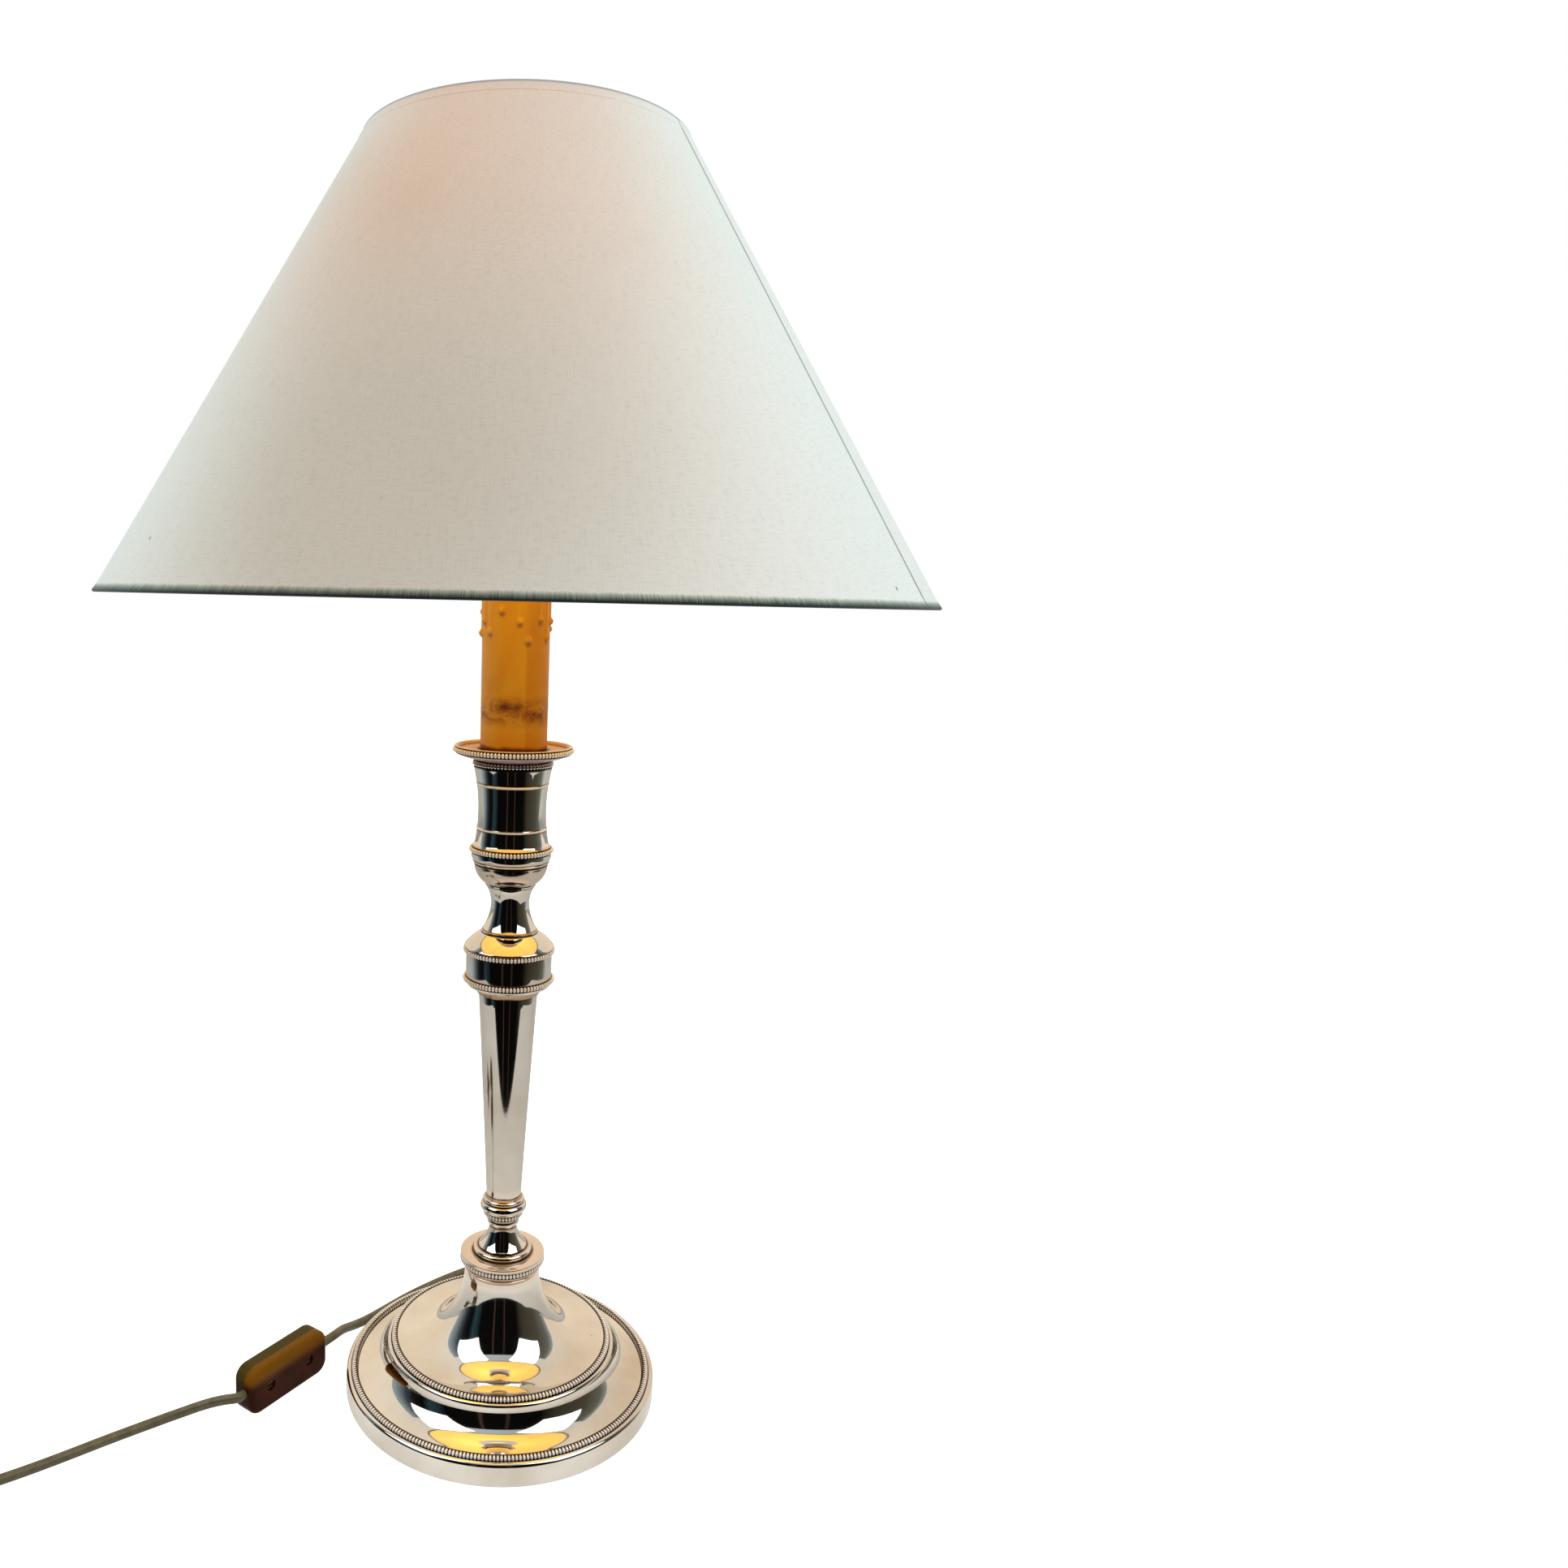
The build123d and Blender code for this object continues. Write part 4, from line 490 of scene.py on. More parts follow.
turn("drum", [
    (4.1, 170.0), (12.2, 170.0, 0.8), (12.6, 170.2, 0.3), (12.9, 172.4, 0.25), (13.1, 172.65, 0.6), (14.6, 172.9, 0.3),
    ((16.5, 173.5), (17.05, 174.5), 8), (17.0, 174.75, 0.5), (16.95, 174.8, 0.9), (16.95, 177.1, 0.9),
    (17.05, 177.15, 0.5), (17.1, 177.4, 0.1), (17.1, 180.0), (17.1, 186.2, 0.1), (17.05, 186.45, 0.5),
    (16.95, 186.5, 0.9), (16.95, 188.8, 0.9), (17.8, 188.85, 0.5), (17.9, 189.0), (17.85, 189.3, 0.1),
    ((15.2, 192.2), (11.5, 194.8), 18), (11.2, 194.9, 0.7), (4.1, 195.0), (4.1, 192.0), (10.0, 192.0), (14.9, 188.3),
    (14.9, 175.6), (11.0, 173.0), (4.1, 173.0),
], silver, stands_for=["drum"])
beads("drum_beads", [(17.0, 175.95, 2.2, 1.35, 79), (17.0, 187.65, 2.2, 1.35, 79)], bead_silver, ["drum_bead_rings"])
turn("waist", [
    (4.1, 195.05), (11.1, 195.05, 0.8), (11.2, 195.25), (11.15, 195.75), (10.9, 195.9, 0.6),
    ((8.6, 200.8), (7.6, 206.0), 14), ((8.1, 210.0), (9.55, 213.3), 12), (9.7, 213.5, 0.7), (4.1, 213.55),
], silver, sides=128, stands_for=["waist"])
LOW_LINE, HIGH_LINE = 236.9, 254.2
CUP_BORE_R = 13.2
wall = [(14.6, 230.7, 0.0), *[(*spot, 0.0) for spot in bow((14.6, 230.7), (13.35, 243.2), (15.25, 260.4), 30)]]
wall = ring_line(ring_line(wall, LOW_LINE, 0.18, 0.55, 0.5), HIGH_LINE, 0.17, 0.5, 0.5)
cup = [
    (4.1, 213.6, 0), (9.8, 213.6, 0.8), (10.0, 213.8, 0.1), (10.1, 214.4, 0.0), (9.95, 214.6, 0.7),
    *[(*spot, 0.16) for spot in bow((9.95, 214.6), (13.0, 217.6), (14.55, 222.2), 16)],
    (14.6, 222.4, 0.8), (14.4, 222.6, 0.9), (14.45, 222.95, 0.3), (15.0, 223.2, 0.0), (15.15, 223.6, 0.1),
    (15.0, 223.9, 0.8), (15.3, 224.3, 0.2), (15.7, 225.2, 0.0), (15.8, 226.8, 0.0), (15.75, 227.1, 0.7),
    (15.3, 227.2, 1.0), (15.3, 229.5, 1.0), (15.45, 229.55, 0.8), (15.3, 229.8, 0.2), *wall,
    (15.35, 260.7, 0.1), (15.3, 261.1, 0.8), (14.5, 261.2, 1.0), (14.5, 263.6, 1.0), (CUP_BORE_R, 263.6, 0),
    (CUP_BORE_R, 258.0, 0), (12.0, 243.2, 0), (12.8, 230.7, 0), (12.0, 220.0, 0), (10.2, 216.6, 0), (4.1, 216.6, 0),
]
candle_cup = spin_outline("cup", cup, silver, stands_for=["candle_cup"])
# The raised lines outside the cup's wall are as dull as the beads.
candle_cup.data.materials.append(bead_silver)
for face in candle_cup.data.polygons:
    on_line = any(abs(face.center.z / MM - z) < 0.2 for z in (LOW_LINE, HIGH_LINE))
    if on_line and face.normal.z < 0.4 and math.hypot(*face.center[:2]) > CUP_BORE_R * MM:
        face.material_index = 1
cup_beads = beads(
    "cup_beads", [(15.35, 228.35, 2.2, 1.35, 72), (14.55, 262.35, 2.2, 1.35, 68)], bead_silver, ["cup_bead_rings"]
)
# The upper row is shielded by the pan, so it kept its polish.
cup_beads.data.materials.append(silver)
for face in cup_beads.data.polygons:
    if face.center.z > HIGH_LINE * MM:
        face.material_index = 1
turn("pan", [
    (4.1, 267.8), (13.6, 267.8, 0.9), (14.6, 267.8, 0.35), (20.6, 267.8, 0.1), (21.1, 267.95, 0.5),
    (21.7, 269.05, 0.1), (22.0, 269.28), (22.8, 269.28), (23.0, 269.1), (22.95, 268.85, 0.7), (22.2, 268.8, 1.0),
    (22.2, 266.5, 1.0), (22.55, 266.45, 0.8), (22.5, 266.2), (22.2, 266.05, 0.3),
    ((18.5, 264.75), (14.6, 263.75), 12, 0.15), (14.5, 263.6, 0.9), (4.1, 263.6),
], pan_silver, stands_for=["drip_pan"])
beads("pan_beads", [(22.25, 267.65, 2.2, 1.35, 101)], bead_silver, ["pan_bead_ring"])

# ---------------------------------------------------------------- candle sleeve
# A tube of amber resin, moulded with wax drips that run down from its top edge.
# It stands loose in the pan, stained brown lower down, with old glue round its foot.
SLEEVE_R, SLEEVE_BORE_R, SLEEVE_BOTTOM, SLEEVE_TOP = 13.0, 11.6, 267.8, 333.8
DRIP_LOW, DRIP_RUN_R, DRIP_TIP_R = 300, 0.95, 1.4
# Each drip is (degrees round from the front, length).
drips = (
    (-84, 23), (-66, 18), (-48, 22), (-24, 14), (6, 18), (21, 25), (44, 17), (62, 24), (80, 18),
    (104, 21), (122, 15), (143, 25), (160, 17), (180, 22), (203, 14), (221, 24), (240, 19), (257, 15),
)
middle = (SLEEVE_BOTTOM + SLEEVE_TOP) / 2
bpy.ops.mesh.primitive_cylinder_add(
    vertices=96, radius=SLEEVE_R * MM, depth=(SLEEVE_TOP - SLEEVE_BOTTOM) * MM, location=(0, 0, middle * MM)
)
sleeve = bpy.context.object
bpy.ops.object.transform_apply(location=True)
runs = []
for degrees, long in drips:
    angle, end = math.radians(degrees - 90), SLEEVE_TOP - long
    for reach, low, wide in ((SLEEVE_R - 0.45, end + 1.2, DRIP_RUN_R), (SLEEVE_R, end + 1.5, DRIP_TIP_R)):
        x, y = reach * math.cos(angle), reach * math.sin(angle)
        bpy.ops.mesh.primitive_uv_sphere_add(
            segments=16, ring_count=12, radius=wide * MM, location=(x * MM, y * MM, low * MM)
        )
        run = bpy.context.object
        bpy.ops.object.transform_apply(location=True)
        if wide == DRIP_RUN_R:
            for vertex in run.data.vertices:
                if vertex.co.z > low * MM:
                    vertex.co.z += (SLEEVE_TOP - low - wide - 0.05) * MM
        runs.append(run)
bpy.ops.object.select_all(action="DESELECT")
for thing in (sleeve, *runs):
    thing.select_set(True)
bpy.context.view_layer.objects.active = sleeve
bpy.ops.object.join()
sleeve = bpy.context.object
sleeve.name = sleeve.data.name = "candle"
melt = sleeve.modifiers.new("melt", "REMESH")
melt.mode = "VOXEL"
melt.voxel_size = 0.42 * MM
bpy.ops.object.modifier_apply(modifier="melt")
soften = sleeve.modifiers.new("soften", "SMOOTH")
soften.factor, soften.iterations = 0.5, 4
bpy.ops.object.modifier_apply(modifier="soften")
bpy.ops.mesh.primitive_cylinder_add(
    vertices=96, radius=SLEEVE_BORE_R * MM, depth=80 * MM, location=(0, 0, middle * MM)
)
core = bpy.context.object
bpy.context.view_layer.objects.active = sleeve
bore = sleeve.modifiers.new("bore", "BOOLEAN")
bore.object = core
bore.solver = "EXACT"
bpy.ops.object.modifier_apply(modifier="bore")
bpy.data.objects.remove(core)
bpy.ops.object.select_all(action="DESELECT")
sleeve.select_set(True)
bpy.ops.object.shade_smooth_by_angle(angle=math.radians(40))
drip_mark = sleeve.data.attributes.new("drip", "FLOAT", "POINT")
tip_mark = sleeve.data.attributes.new("tip", "FLOAT", "POINT")
tips = [
    (SLEEVE_R * math.sin(math.radians(d)), -SLEEVE_R * math.cos(math.radians(d)), SLEEVE_TOP - long)
    for d, long in drips
]
for vertex, drip, tip in zip(sleeve.data.vertices, drip_mark.data, tip_mark.data):
    spot = vertex.co / MM
    reach = math.hypot(spot.x, spot.y)
    if spot.z > DRIP_LOW and reach > SLEEVE_R - 0.2:
        drip.value = min(1.0, max(0.0, (reach - SLEEVE_R - 0.1) * 1.6))
        tip.value = max(0.0, 1.0 - min(math.dist(spot, place) for place in tips) / 2.0)
# Cast amber resin: glossy and a little see-through, so light spreads inside it and thick drips look deeper.
resin, tree, out = blank("cast resin, amber")
where = add(tree, "TexCoord").outputs["Object"]
xyz = add(tree, "SeparateXYZ", {0: where})
swirl = add(tree, "TexNoise", {"Vector": where, "Scale": 70.0, "Detail": 5.0}).outputs["Fac"]
amber = add(tree, "ValToRGB", {"Fac": swirl}, [(0.3, "AA6604"), (0.5, "C28006"), (0.72, "CE961C")]).outputs["Color"]
# Painted light: the top is painted paler where the bulb's light falls on it, and the tube is paler near its foot.
pale = add(tree, "MapRange", {0: xyz.outputs["Z"], 1: 0.295, 2: 0.33, 3: 0.0, 4: 0.7}).outputs[0]
low = add(tree, "MapRange", {0: xyz.outputs["Z"], 1: 0.286, 2: 0.276, 3: 0.0, 4: 0.75}).outputs[0]
pale = add(tree, "Math", {0: pale, 1: low}, operation="MAXIMUM").outputs[0]
amber = add(tree, "Mix", {0: pale, 6: amber, 7: "DC9C14"}, data_type="RGBA").outputs[2]
# Painted highlight: the raised drips are painted lighter than the tube.
drip = add(tree, "Attribute", attribute_name="drip").outputs["Fac"]
amber = add(tree, "Mix", {0: drip, 6: amber, 7: "DC9C18"}, data_type="RGBA").outputs[2]
# Painted light: a painted highlight pale on the left, clear in the middle, painted shade past a faint upright line on
# the right.
across = add(tree, "MapRange", {0: xyz.outputs["X"], 1: -0.013, 2: 0.013}).outputs[0]
side_light_bands = add(tree, "ValToRGB", {"Fac": across}, [
    (0.0, "B88A4A"), (0.2, "BC8A34"), (0.3, "BE7C06"), (0.64, "CC8E12"), (0.68, "B06A04"), (1.0, "A66204"),
]).outputs["Color"]
amber = add(tree, "Mix", {0: 0.5, 6: amber, 7: side_light_bands}, data_type="RGBA").outputs[2]
flow = add(tree, "Mapping", {"Vector": where, "Scale": (120.0, 120.0, 170.0)})
stain = add(tree, "TexNoise", {
    "Vector": flow.outputs[0], "Scale": 1.0, "Detail": 9.0, "Roughness": 0.66, "Distortion": 0.7,
}).outputs["Fac"]
above = add(tree, "MapRange", {0: xyz.outputs["Z"], 1: 0.2895, 2: 0.2855, 3: 0.0, 4: 1.0}).outputs[0]
below = add(tree, "MapRange", {0: xyz.outputs["Z"], 1: 0.2765, 2: 0.2815, 3: 0.0, 4: 1.0}).outputs[0]
belt = add(tree, "Math", {0: above, 1: below}, operation="MULTIPLY").outputs[0]
blot = add(tree, "MapRange", {0: stain, 1: 0.4, 2: 0.66, 3: 0.05, 4: 0.95}).outputs[0]
mark = add(tree, "Math", {0: belt, 1: blot}, operation="MULTIPLY").outputs[0]
edge = add(tree, "Math", {0: stain, 1: -0.004, 2: xyz.outputs["Z"]}, operation="MULTIPLY_ADD").outputs[0]
glue = add(tree, "MapRange", {0: edge, 1: 0.2682, 2: 0.2668, 3: 0.0, 4: 0.95}).outputs[0]
mark = add(tree, "Math", {0: mark, 1: glue}, operation="MAXIMUM").outputs[0]
# Painted shadow: the tip mark paints each drip's end dark brown beneath it.
tip = add(tree, "Attribute", attribute_name="tip").outputs["Fac"]
tip = add(tree, "MapRange", {0: tip, 1: 0.15, 2: 0.7, 3: 0.0, 4: 0.5}).outputs[0]
mark = add(tree, "Math", {0: mark, 1: tip}, operation="MAXIMUM").outputs[0]
# The brown stain, the old glue and the painted shadow under the drips share one dark brown.
tone = add(tree, "Mix", {0: mark, 6: amber, 7: "602206"}, data_type="RGBA")
pits = add(tree, "TexNoise", {"Vector": where, "Scale": 600.0, "Detail": 3.0}).outputs["Fac"]
relief = add(tree, "Math", {0: mark, 1: 1.5, 2: pits}, operation="MULTIPLY_ADD").outputs[0]
bump = add(tree, "Bump", {"Height": relief, "Strength": 0.25, "Distance": 0.0003})
body = add(tree, "BsdfPrincipled", {
    "Base Color": tone.outputs[2], "Roughness": 0.36, "IOR": 1.5, "Specular IOR Level": 0.22, "Normal": bump.outputs[0],
    "Subsurface Weight": 0.1, "Subsurface Scale": 0.002, "Subsurface Radius": (1.0, 0.5, 0.1),
})
tree.links.new(body.outputs[0], out.inputs["Surface"])
sleeve.data.materials.clear()
sleeve.data.materials.append(resin)
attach(sleeve, "lamp")
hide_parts("candle_sleeve")

# ---------------------------------------------------------------- hidden metal, holder and felt
# Steel rod, nuts and washers, an iron weight, a baize pad, and a plastic holder with a ceramic insert.
# They are machined, cast or moulded stock parts, screwed together inside the foot, the candle and the shade.
def plain(name, dark, light, scale, rough, metal=0.0, bump=0.1, ior=1.5):
    """A finish with mottled colour, uneven gloss and a fine grain of one size."""
    material, tree, out = blank(name)
    where = add(tree, "TexCoord").outputs["Object"]
    grain = add(tree, "TexNoise", {"Vector": where, "Scale": scale, "Detail": 4.0}).outputs["Fac"]
    tone = add(tree, "ValToRGB", {"Fac": grain}, [(0.3, dark), (0.7, light)]).outputs["Color"]
    gloss = add(tree, "MapRange", {0: grain, 1: 0.3, 2: 0.7, 3: rough * 1.2, 4: rough * 0.85}).outputs[0]
    relief = add(tree, "Bump", {"Height": grain, "Strength": bump, "Distance": 0.0002})
    body = add(tree, "BsdfPrincipled", {
        "Base Color": tone, "Metallic": metal, "Roughness": gloss, "Normal": relief.outputs[0],
    })
    if not metal:
        body.inputs["IOR"].default_value = ior
    tree.links.new(body.outputs[0], out.inputs["Surface"])
    return material


# Each stock finish: mild steel is zinc plated and drawn; grey iron is sand cast; baize is pressed wool.
for finish, names in (
    (plain("zinc-plated steel", "9A9A97", "C9C8C2", 400.0, 0.32, 1.0),
     ["cover_plate", "cover_screws", "washer", "rod_nuts", "sleeve_washer"]),
    (plain("mild steel, drawn", "87837C", "B5B0A6", 500.0, 0.35, 1.0), ["tie_rod", "reducer_nipple"]),
    (plain("grey iron, sand cast", "2B2A29", "454341", 700.0, 0.6, 1.0, 0.5), ["base_weight"]),
    (plain("wool baize, pressed", "1E4A36", "2F6A4C", 2200.0, 0.95, 0.0, 0.8), ["felt_pad"]),
    (plain("moulded polyester, ivory", "E2DCCB", "F1ECDD", 200.0, 0.42, 0.0, 0.05),
     ["holder_cap", "holder_mantle", "ring_nuts"]),
    (plain("steatite, fired", "DAD6CC", "EEEAE0", 500.0, 0.5, 0.0, 0.15, 1.6), ["holder_insert", "bulb_insulator"]),
    (plain("brass, stamped", "B08A3E", "D9B564", 500.0, 0.28, 1.0),
     ["screw_shell", "centre_contact", "switch_contacts", "bulb_tip_contact", "plug_pins"]),
    (plain("silicone wire cover", "B9B4A8", "D6D2C8", 500.0, 0.55), ["holder_wires"]),
    (plain("moulded rubber, dark brown", "2A221A", "40352A", 600.0, 0.6), ["cable_gland"]),
    (plain("steel wire, dipped in white plastic", "D8D6D0", "F2F0EA", 300.0, 0.4), ["shade_carrier", "top_wire_ring"]),
    (plain("polyamide, natural", "D9D6CB", "F0EEE6", 300.0, 0.45), ["coil_tie"]),
    (plain("aluminium, rolled thread", "B9B9B6", "DDDDD9", 500.0, 0.3, 1.0), ["bulb_cap"]),
):
    dress(finish, *names)

# ---------------------------------------------------------------- bulb
# A small opal glass golf bulb, blown and dipped inside with white powder, cemented into a rolled cap.
# It is lit, so it glows warm inside the shade.
opal, tree, out = blank("opal glass, lit")
where = add(tree, "TexCoord").outputs["Object"]
powder = add(tree, "TexNoise", {"Vector": where, "Scale": 240.0, "Detail": 2.0}).outputs["Fac"]
warm = add(tree, "ValToRGB", {"Fac": powder}, [(0.35, "FFD48A"), (0.65, "FFE2AE")]).outputs["Color"]
body = add(tree, "BsdfPrincipled", {
    "Base Color": "F7F3E8", "Roughness": 0.12, "IOR": 1.52, "Emission Color": warm, "Emission Strength": 1.6,
})
tree.links.new(body.outputs[0], out.inputs["Surface"])
glow, tree, out = blank("tungsten, lit")
heat = add(tree, "Emission", {"Color": "FFB45A", "Strength": 2.0})
tree.links.new(heat.outputs[0], out.inputs["Surface"])
dress(opal, "bulb_glass", "bulb_stem")
dress(glow, "bulb_filament")

# ---------------------------------------------------------------- shade
# Ivory linen laminated to a stiff film, cut as part of a ring, rolled into a cone and lapped at the right.
# A strip of the same linen is rolled over the wire at each end.
SHADE_R0, SHADE_R1, SHADE_Z0, SHADE_Z1 = 153.2, 59.1, 325.2, 486.4
SHADE_T = 0.58
SEAM = -32        # degrees, at the right of the front


def cone_r(z):
    """The cone's outer radius at a height."""
    return SHADE_R0 + (SHADE_R1 - SHADE_R0) * (z - SHADE_Z0) / (SHADE_Z1 - SHADE_Z0)


def linen(name, inside):
    """Linen on film, with slubs and painted light: a soft painted glow, painted shade and cool painted daylight, and on
    the lining a painted pool of the bulb's light. Its threads are drawn coarse to show: 0.7 mm apart up the cone, and
    0.4 to 1.1 mm apart round it, because their number is the same at each height."""
    material, tree, out = blank(name)
    where = add(tree, "TexCoord").outputs["Object"]
    xyz = add(tree, "SeparateXYZ", {0: where})
    around = add(tree, "Math", {0: xyz.outputs["Y"], 1: xyz.outputs["X"]}, operation="ARCTAN2").outputs[0]
    warp = add(tree, "Math", {0: around, 1: 900.0}, operation="MULTIPLY").outputs[0]
    warp = add(tree, "Math", {0: warp}, operation="SINE").outputs[0]
    weft = add(tree, "Math", {0: xyz.outputs["Z"], 1: math.tau / 0.0007}, operation="MULTIPLY").outputs[0]
    weft = add(tree, "Math", {0: weft}, operation="SINE").outputs[0]
    weave = add(tree, "Math", {0: warp, 1: weft}, operation="MULTIPLY").outputs[0]
    level = add(tree, "CombineXYZ", {0: around, 1: xyz.outputs["Z"]}).outputs[0]
    across = add(tree, "Mapping", {"Vector": level, "Scale": (42.0, 1500.0, 1.0)})
    upright = add(tree, "Mapping", {"Vector": level, "Scale": (450.0, 130.0, 1.0)})
    slub_a = add(tree, "TexNoise", {"Vector": across.outputs[0], "Scale": 1.0, "Detail": 3.0}).outputs["Fac"]
    slub_b = add(tree, "TexNoise", {"Vector": upright.outputs[0], "Scale": 1.0, "Detail": 3.0}).outputs["Fac"]
    slubs = add(tree, "Math", {0: slub_a, 1: slub_b}, operation="ADD").outputs[0]
    if inside:
        tone = add(tree, "ValToRGB", {"Fac": slub_a}, [(0.3, "D9C79A"), (0.7, "E8DAB4")]).outputs["Color"]
        # Painted light: the lining glows yellow, strongest near the bulb, as a painted pool of the bulb's light.
        bulb_at = (0.0, 0.0, 0.405)
        light = add(tree, "VectorMath", {0: where, 1: bulb_at}, operation="DISTANCE").outputs["Value"]
        shine = add(tree, "MapRange", {0: light, 1: 0.05, 2: 0.17, 3: 0.95, 4: 0.62}).outputs[0]
        body = add(tree, "BsdfPrincipled", {
            "Base Color": tone, "Roughness": 0.6, "Emission Color": "FFC832", "Emission Strength": shine,
        })
        tree.links.new(body.outputs[0], out.inputs["Surface"])
        return material
    clouds = add(tree, "TexNoise", {"Vector": where, "Scale": 9.0, "Detail": 3.0}).outputs["Fac"]
    # Painted light: the lamp's glow is painted high at the front, rosy on ivory.
    smooth = {"interpolation_type": "SMOOTHSTEP"}
    glow_at, dusk_at = (-0.052, -0.072, 0.45), (-0.045, -0.125, 0.355)
    height = add(tree, "MapRange", {0: xyz.outputs["Z"], 1: 0.33, 2: 0.455}, **smooth).outputs[0]
    front = add(tree, "VectorMath", {0: where, 1: glow_at}, operation="DISTANCE").outputs["Value"]
    spot = add(tree, "MapRange", {0: front, 1: 0.0, 2: 0.16, 3: 1.0, 4: 0.0}, **smooth).outputs[0]
    rosy = add(tree, "Math", {0: height, 1: 0.35}, operation="MULTIPLY").outputs[0]
    rosy = add(tree, "Math", {0: spot, 1: 0.65, 2: rosy}, operation="MULTIPLY_ADD").outputs[0]
    cloudy = add(tree, "MapRange", {0: clouds, 1: 0.3, 2: 0.7, 3: -0.12, 4: 0.12}).outputs[0]
    rosy = add(tree, "Math", {0: rosy, 1: cloudy}, operation="ADD", use_clamp=True).outputs[0]
    ground = add(tree, "ValToRGB", {"Fac": rosy}, [
        (0.0, "EAE6DC"), (0.35, "EAE0D2"), (0.7, "E6D1BF"), (1.0, "DFBFA5"),
    ]).outputs["Color"]
    # Painted shade makes it dusky low at the left, and painted cool daylight falls on both sides of the front.
    left = add(tree, "VectorMath", {0: where, 1: dusk_at}, operation="DISTANCE").outputs["Value"]
    dusk = add(tree, "MapRange", {0: left, 1: 0.02, 2: 0.135, 3: 0.85, 4: 0.0}, **smooth).outputs[0]
    ground = add(tree, "Mix", {0: dusk, 6: ground, 7: "C4B7A4"}, data_type="RGBA").outputs[2]
    facing = add(tree, "Math", {0: around, 1: math.pi / 2 + 0.1}, operation="ADD").outputs[0]
    facing = add(tree, "Math", {0: facing}, operation="ABSOLUTE").outputs[0]
    cool = add(tree, "MapRange", {0: facing, 1: 0.3, 2: 1.15}, **smooth).outputs[0]
    hidden = add(tree, "MapRange", {0: facing, 1: 1.6, 2: 2.4, 3: 1.0, 4: 0.3}, **smooth).outputs[0]
    cool = add(tree, "Math", {0: cool, 1: hidden}, operation="MULTIPLY").outputs[0]
    unglowed = add(tree, "Math", {0: spot, 1: -0.5, 2: 1.0}, operation="MULTIPLY_ADD").outputs[0]
    cool = add(tree, "Math", {0: cool, 1: unglowed}, operation="MULTIPLY").outputs[0]
    ground = add(tree, "Mix", {0: cool, 6: ground, 7: "EAEFE8"}, data_type="RGBA").outputs[2]
    shade = add(tree, "ValToRGB", {"Fac": slubs}, [(0.7, "F1F1F1"), (1.3, "FFFFFF")]).outputs["Color"]
    tone = add(tree, "Mix", {0: 1.0, 6: ground, 7: shade}, data_type="RGBA", blend_type="MULTIPLY").outputs[2]
    fine = add(tree, "MapRange", {0: weave, 1: -1.0, 2: 1.0, 3: 0.9, 4: 1.0}).outputs[0]
    tone = add(tree, "Mix", {0: 1.0, 6: tone, 7: fine}, data_type="RGBA", blend_type="MULTIPLY").outputs[2]
    speck = add(tree, "TexVoronoi", {"Vector": where, "Scale": 26.0}, feature="F1")
    speck = speck.outputs["Distance"]
    fleck = add(tree, "MapRange", {0: speck, 1: 0.012, 2: 0.02, 3: 0.75, 4: 0.0}).outputs[0]
    tone = add(tree, "Mix", {0: fleck, 6: tone, 7: "4A4038"}, data_type="RGBA").outputs[2]
    lap = math.radians(SEAM)
    off = add(tree, "Math", {0: around, 1: lap, 2: 0.0026}, operation="COMPARE").outputs[0]
    line = add(tree, "Math", {0: off, 1: 0.4}, operation="MULTIPLY").outputs[0]
    tone = add(tree, "Mix", {0: line, 6: tone, 7: "857A6C"}, data_type="RGBA").outputs[2]
    # The lower edge is greyed most, by dirt from hands and dust and by painted shade under its roll;
    # the top edge has a thin blue-grey line.
    z = xyz.outputs["Z"]
    ragged = add(tree, "Math", {0: slub_b, 1: -0.0016, 2: z}, operation="MULTIPLY_ADD").outputs[0]
    low_edge_dirt_and_shade = add(tree, "MapRange", {0: ragged, 1: 0.3238, 2: 0.3268}).outputs[0]
    grime = add(tree, "ValToRGB", {"Fac": low_edge_dirt_and_shade}, [
        (0.0, "141A17"), (0.3, "27302B"), (0.5, "6E7A70"), (0.75, "B4BEB4"), (1.0, "FFFFFF"),
    ]).outputs["Color"]
    tone = add(tree, "Mix", {0: 1.0, 6: tone, 7: grime}, data_type="RGBA", blend_type="MULTIPLY").outputs[2]
    brink = add(tree, "MapRange", {0: z, 1: 0.4857, 2: 0.4864, 3: 0.0, 4: 0.75}).outputs[0]
    tone = add(tree, "Mix", {0: brink, 6: tone, 7: "7F9096"}, data_type="RGBA").outputs[2]
    relief = add(tree, "Math", {0: weave, 1: 0.4, 2: slubs}, operation="MULTIPLY_ADD").outputs[0]
    bump = add(tree, "Bump", {"Height": relief, "Strength": 0.16, "Distance": 0.00025})
    # It also glows faintly in its own colour, as painted light from the bulb inside.
    body = add(tree, "BsdfPrincipled", {
        "Base Color": tone, "Roughness": 0.85, "Sheen Weight": 0.25, "Sheen Roughness": 0.5, "Sheen Tint": "E2F0EC",
        "Emission Color": tone, "Emission Strength": 0.07, "Normal": bump.outputs[0],
    })
    tree.links.new(body.outputs[0], out.inputs["Surface"])
    return material


linen_out = linen("linen, plain weave, ivory", False)
linen_in = linen("film lining, lit", True)
ROWS, LAP_WIDE = 24, 9.0
outside = [(cone_r(z), z, 0.0) for z in (SHADE_Z0 + (SHADE_Z1 - SHADE_Z0) * i / ROWS for i in range(ROWS + 1))]
inside = [(r - SHADE_T, z, 0.0) for r, z, _ in reversed(outside)]
shade = spin_outline("shade", outside + inside, linen_out, "shade", 240, ["shade_cone"])
shade.data.materials.append(linen_in)
for face in shade.data.polygons:
    if face.normal.x * face.center.x + face.normal.y * face.center.y < 0:
        face.material_index = 1


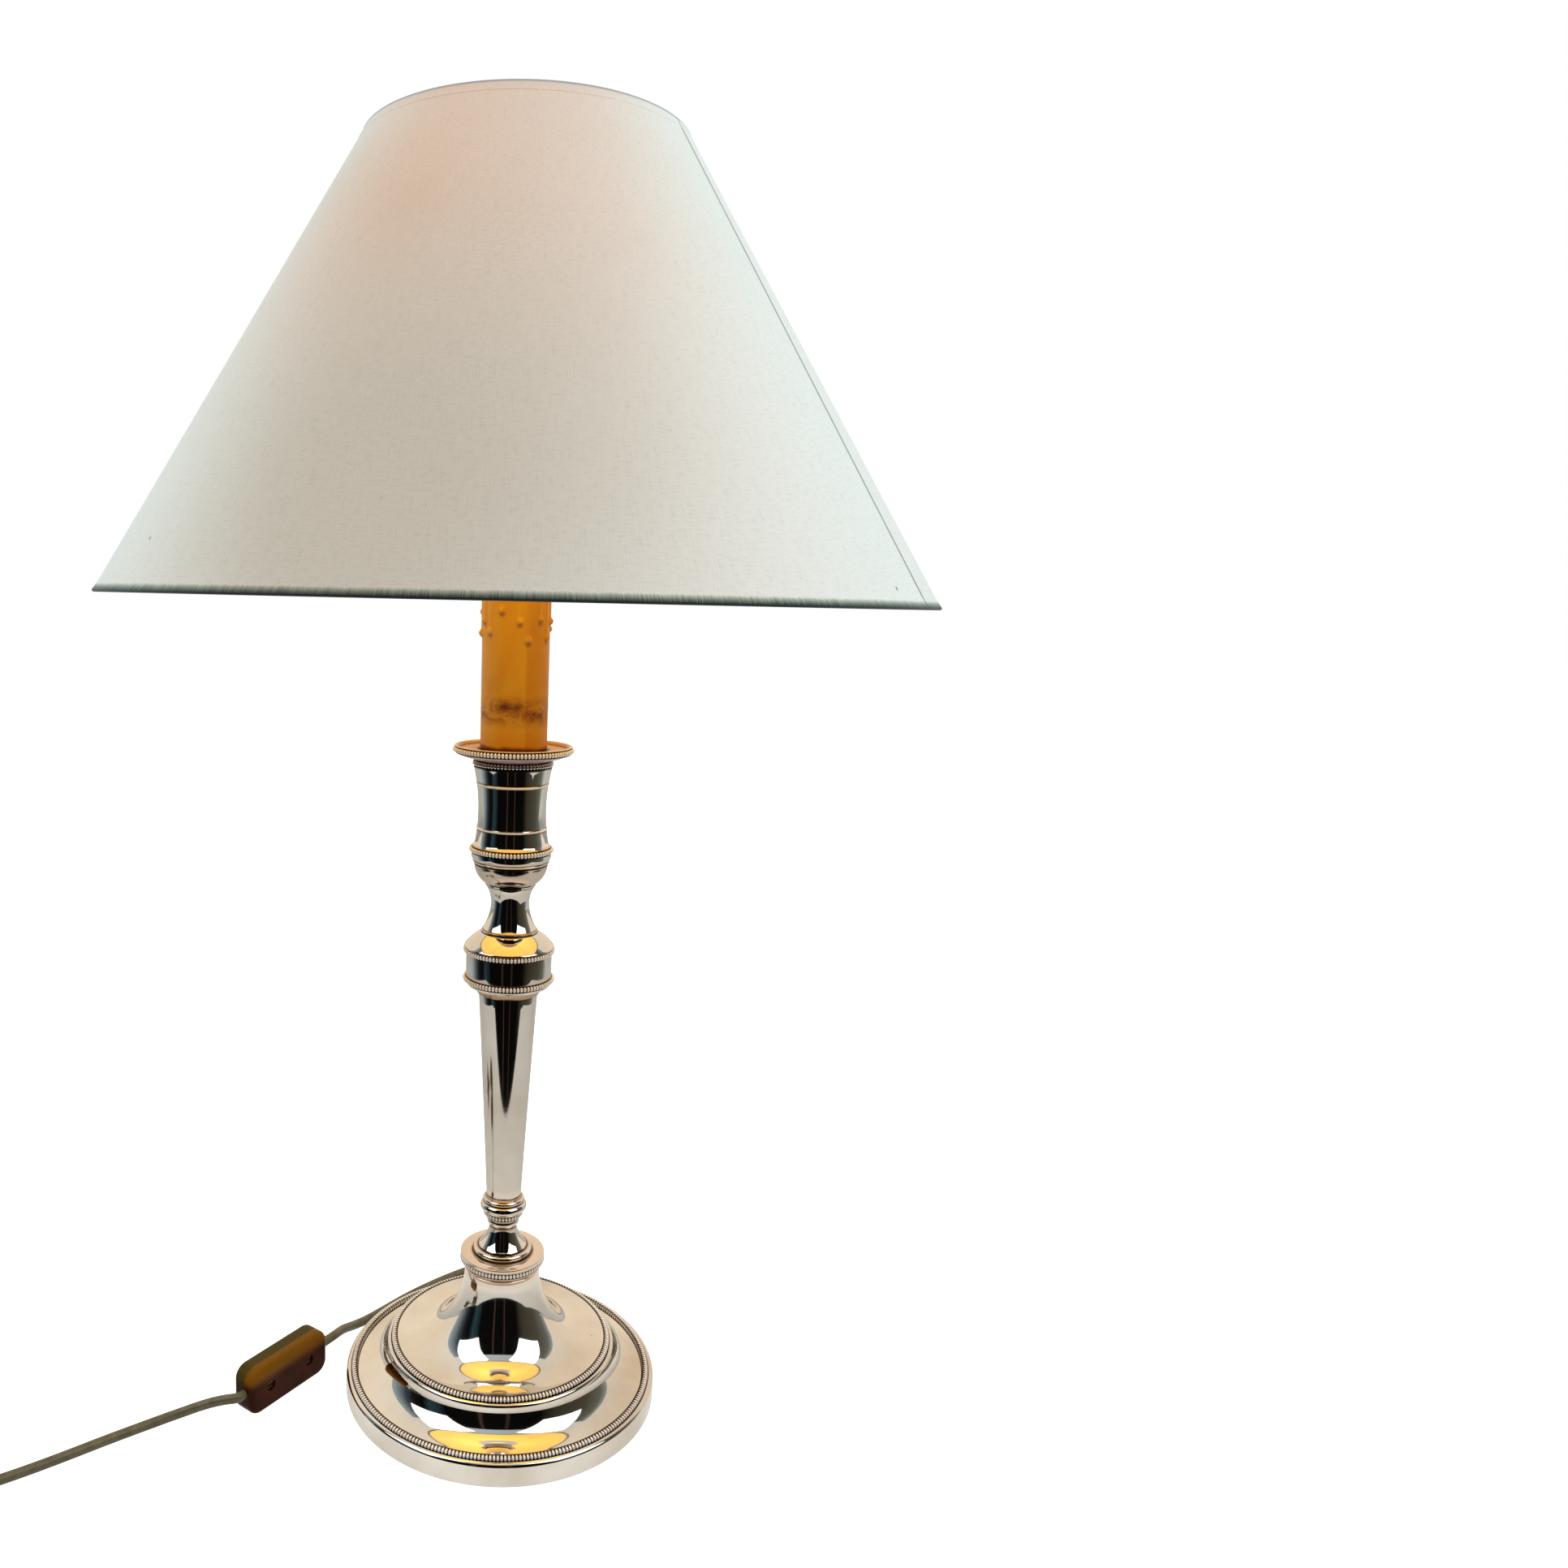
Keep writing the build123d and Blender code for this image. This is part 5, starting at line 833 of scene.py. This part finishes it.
def hem(name, z0, z1, turned_in, roll):
    """A strip rolled over a wire: up the outside, round the edge and back on the inside."""
    edge, far = (z0, z1) if turned_in == "low" else (z1, z0)
    sign, proud = (1, 0.2) if turned_in == "low" else (-1, 0.05)
    r0, r1 = cone_r(edge), cone_r(far)
    steps = [
        (r1 - 0.1, far), (r1 + proud * 0.5, far), (r1 + proud, far - sign * 0.2), (r0 + 0.3, edge + sign * 0.2),
        (r0 + 0.2, edge - sign * 0.25), (r0 - 0.3, edge - sign * 0.5), (r0 - roll, edge - sign * 0.45),
        (r0 - roll - 0.25, edge - sign * 0.1), (r0 - roll, edge + sign * 0.05), (r0 - 0.75, edge + sign * 0.02),
        (r0, edge),
    ]
    return turn(name, steps, linen_out, "shade", 240, [name.replace("linen_", "") + "_hem"])


low_hem = hem("linen_bottom", SHADE_Z0, SHADE_Z0 + 3.4, "low", 4.0)
high_hem = hem("linen_top", SHADE_Z1 - 3.4, SHADE_Z1, "high", 3.6)

# The lap: a second thickness of the same linen, glued down beside the seam line.
bpy.ops.mesh.primitive_grid_add(x_subdivisions=10, y_subdivisions=40, size=1)
lap = bpy.context.object
lap.name = lap.data.name = "linen_lap"
for vertex in lap.data.vertices:
    z = SHADE_Z0 + 0.2 + (vertex.co.y + 0.5) * (SHADE_Z1 - SHADE_Z0 - 0.4)
    r = cone_r(z) + 0.02
    angle = math.radians(SEAM) + (vertex.co.x + 0.5) * LAP_WIDE / r
    vertex.co = (r * MM * math.cos(angle), r * MM * math.sin(angle), z * MM)
thick = lap.modifiers.new("thick", "SOLIDIFY")
thick.thickness, thick.offset = 0.28 * MM, 1.0
bpy.ops.object.modifier_apply(modifier="thick")
bpy.ops.object.shade_smooth_by_angle(angle=math.radians(35))
lap.data.materials.append(linen_out)
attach(lap, "shade")

# ---------------------------------------------------------------- switch
# An in-line rocker switch of glossy brown plastic: two moulded halves held by two recessed screws.
# It lies on its narrow side with the screws to the front and the rocker at the back.
# The glossy brown urea's upper edge is painted lighter, as painted light from under the shade:
# amber in front, olive behind.
switch_plastics = []
for name, glow in (("moulded urea, dark brown", "744A08"), ("moulded urea, olive brown", "483C14")):
    urea = plain(name, "2A0E02", "441A04", 90.0, 0.16, 0.0, 0.03, 1.55)
    tree = urea.node_tree
    body = next(node for node in tree.nodes if node.type == "BSDF_PRINCIPLED")
    body.inputs["Specular IOR Level"].default_value = 0.06
    deep = body.inputs["Base Color"].links[0].from_socket
    where = add(tree, "TexCoord").outputs["Object"]
    level = add(tree, "SeparateXYZ", {0: where}).outputs["Z"]
    lit_edge = add(
        tree, "MapRange", {0: level, 1: 0.0115, 2: 0.0165}, interpolation_type="SMOOTHSTEP"
    ).outputs[0]
    painted_edge_glow = add(tree, "Mix", {0: lit_edge, 6: deep, 7: glow}, data_type="RGBA").outputs[2]
    tree.links.new(painted_edge_glow, body.inputs["Base Color"])
    switch_plastics.append(urea)
dress(switch_plastics[0], "switch_front")
dress(switch_plastics[1], "switch_back", "rocker")
dress(plain("moulded PVC, brown", "4A3420", "5D442B", 200.0, 0.4, 0.0, 0.05), "plug_body", "plug_pin_sleeves")
# The screws are painted dark brown, as painted shade in their recesses.
dress(plain("steel, painted dark for recess shade", "3A2C20", "5A4634", 300.0, 0.4, 1.0), "switch_screws")
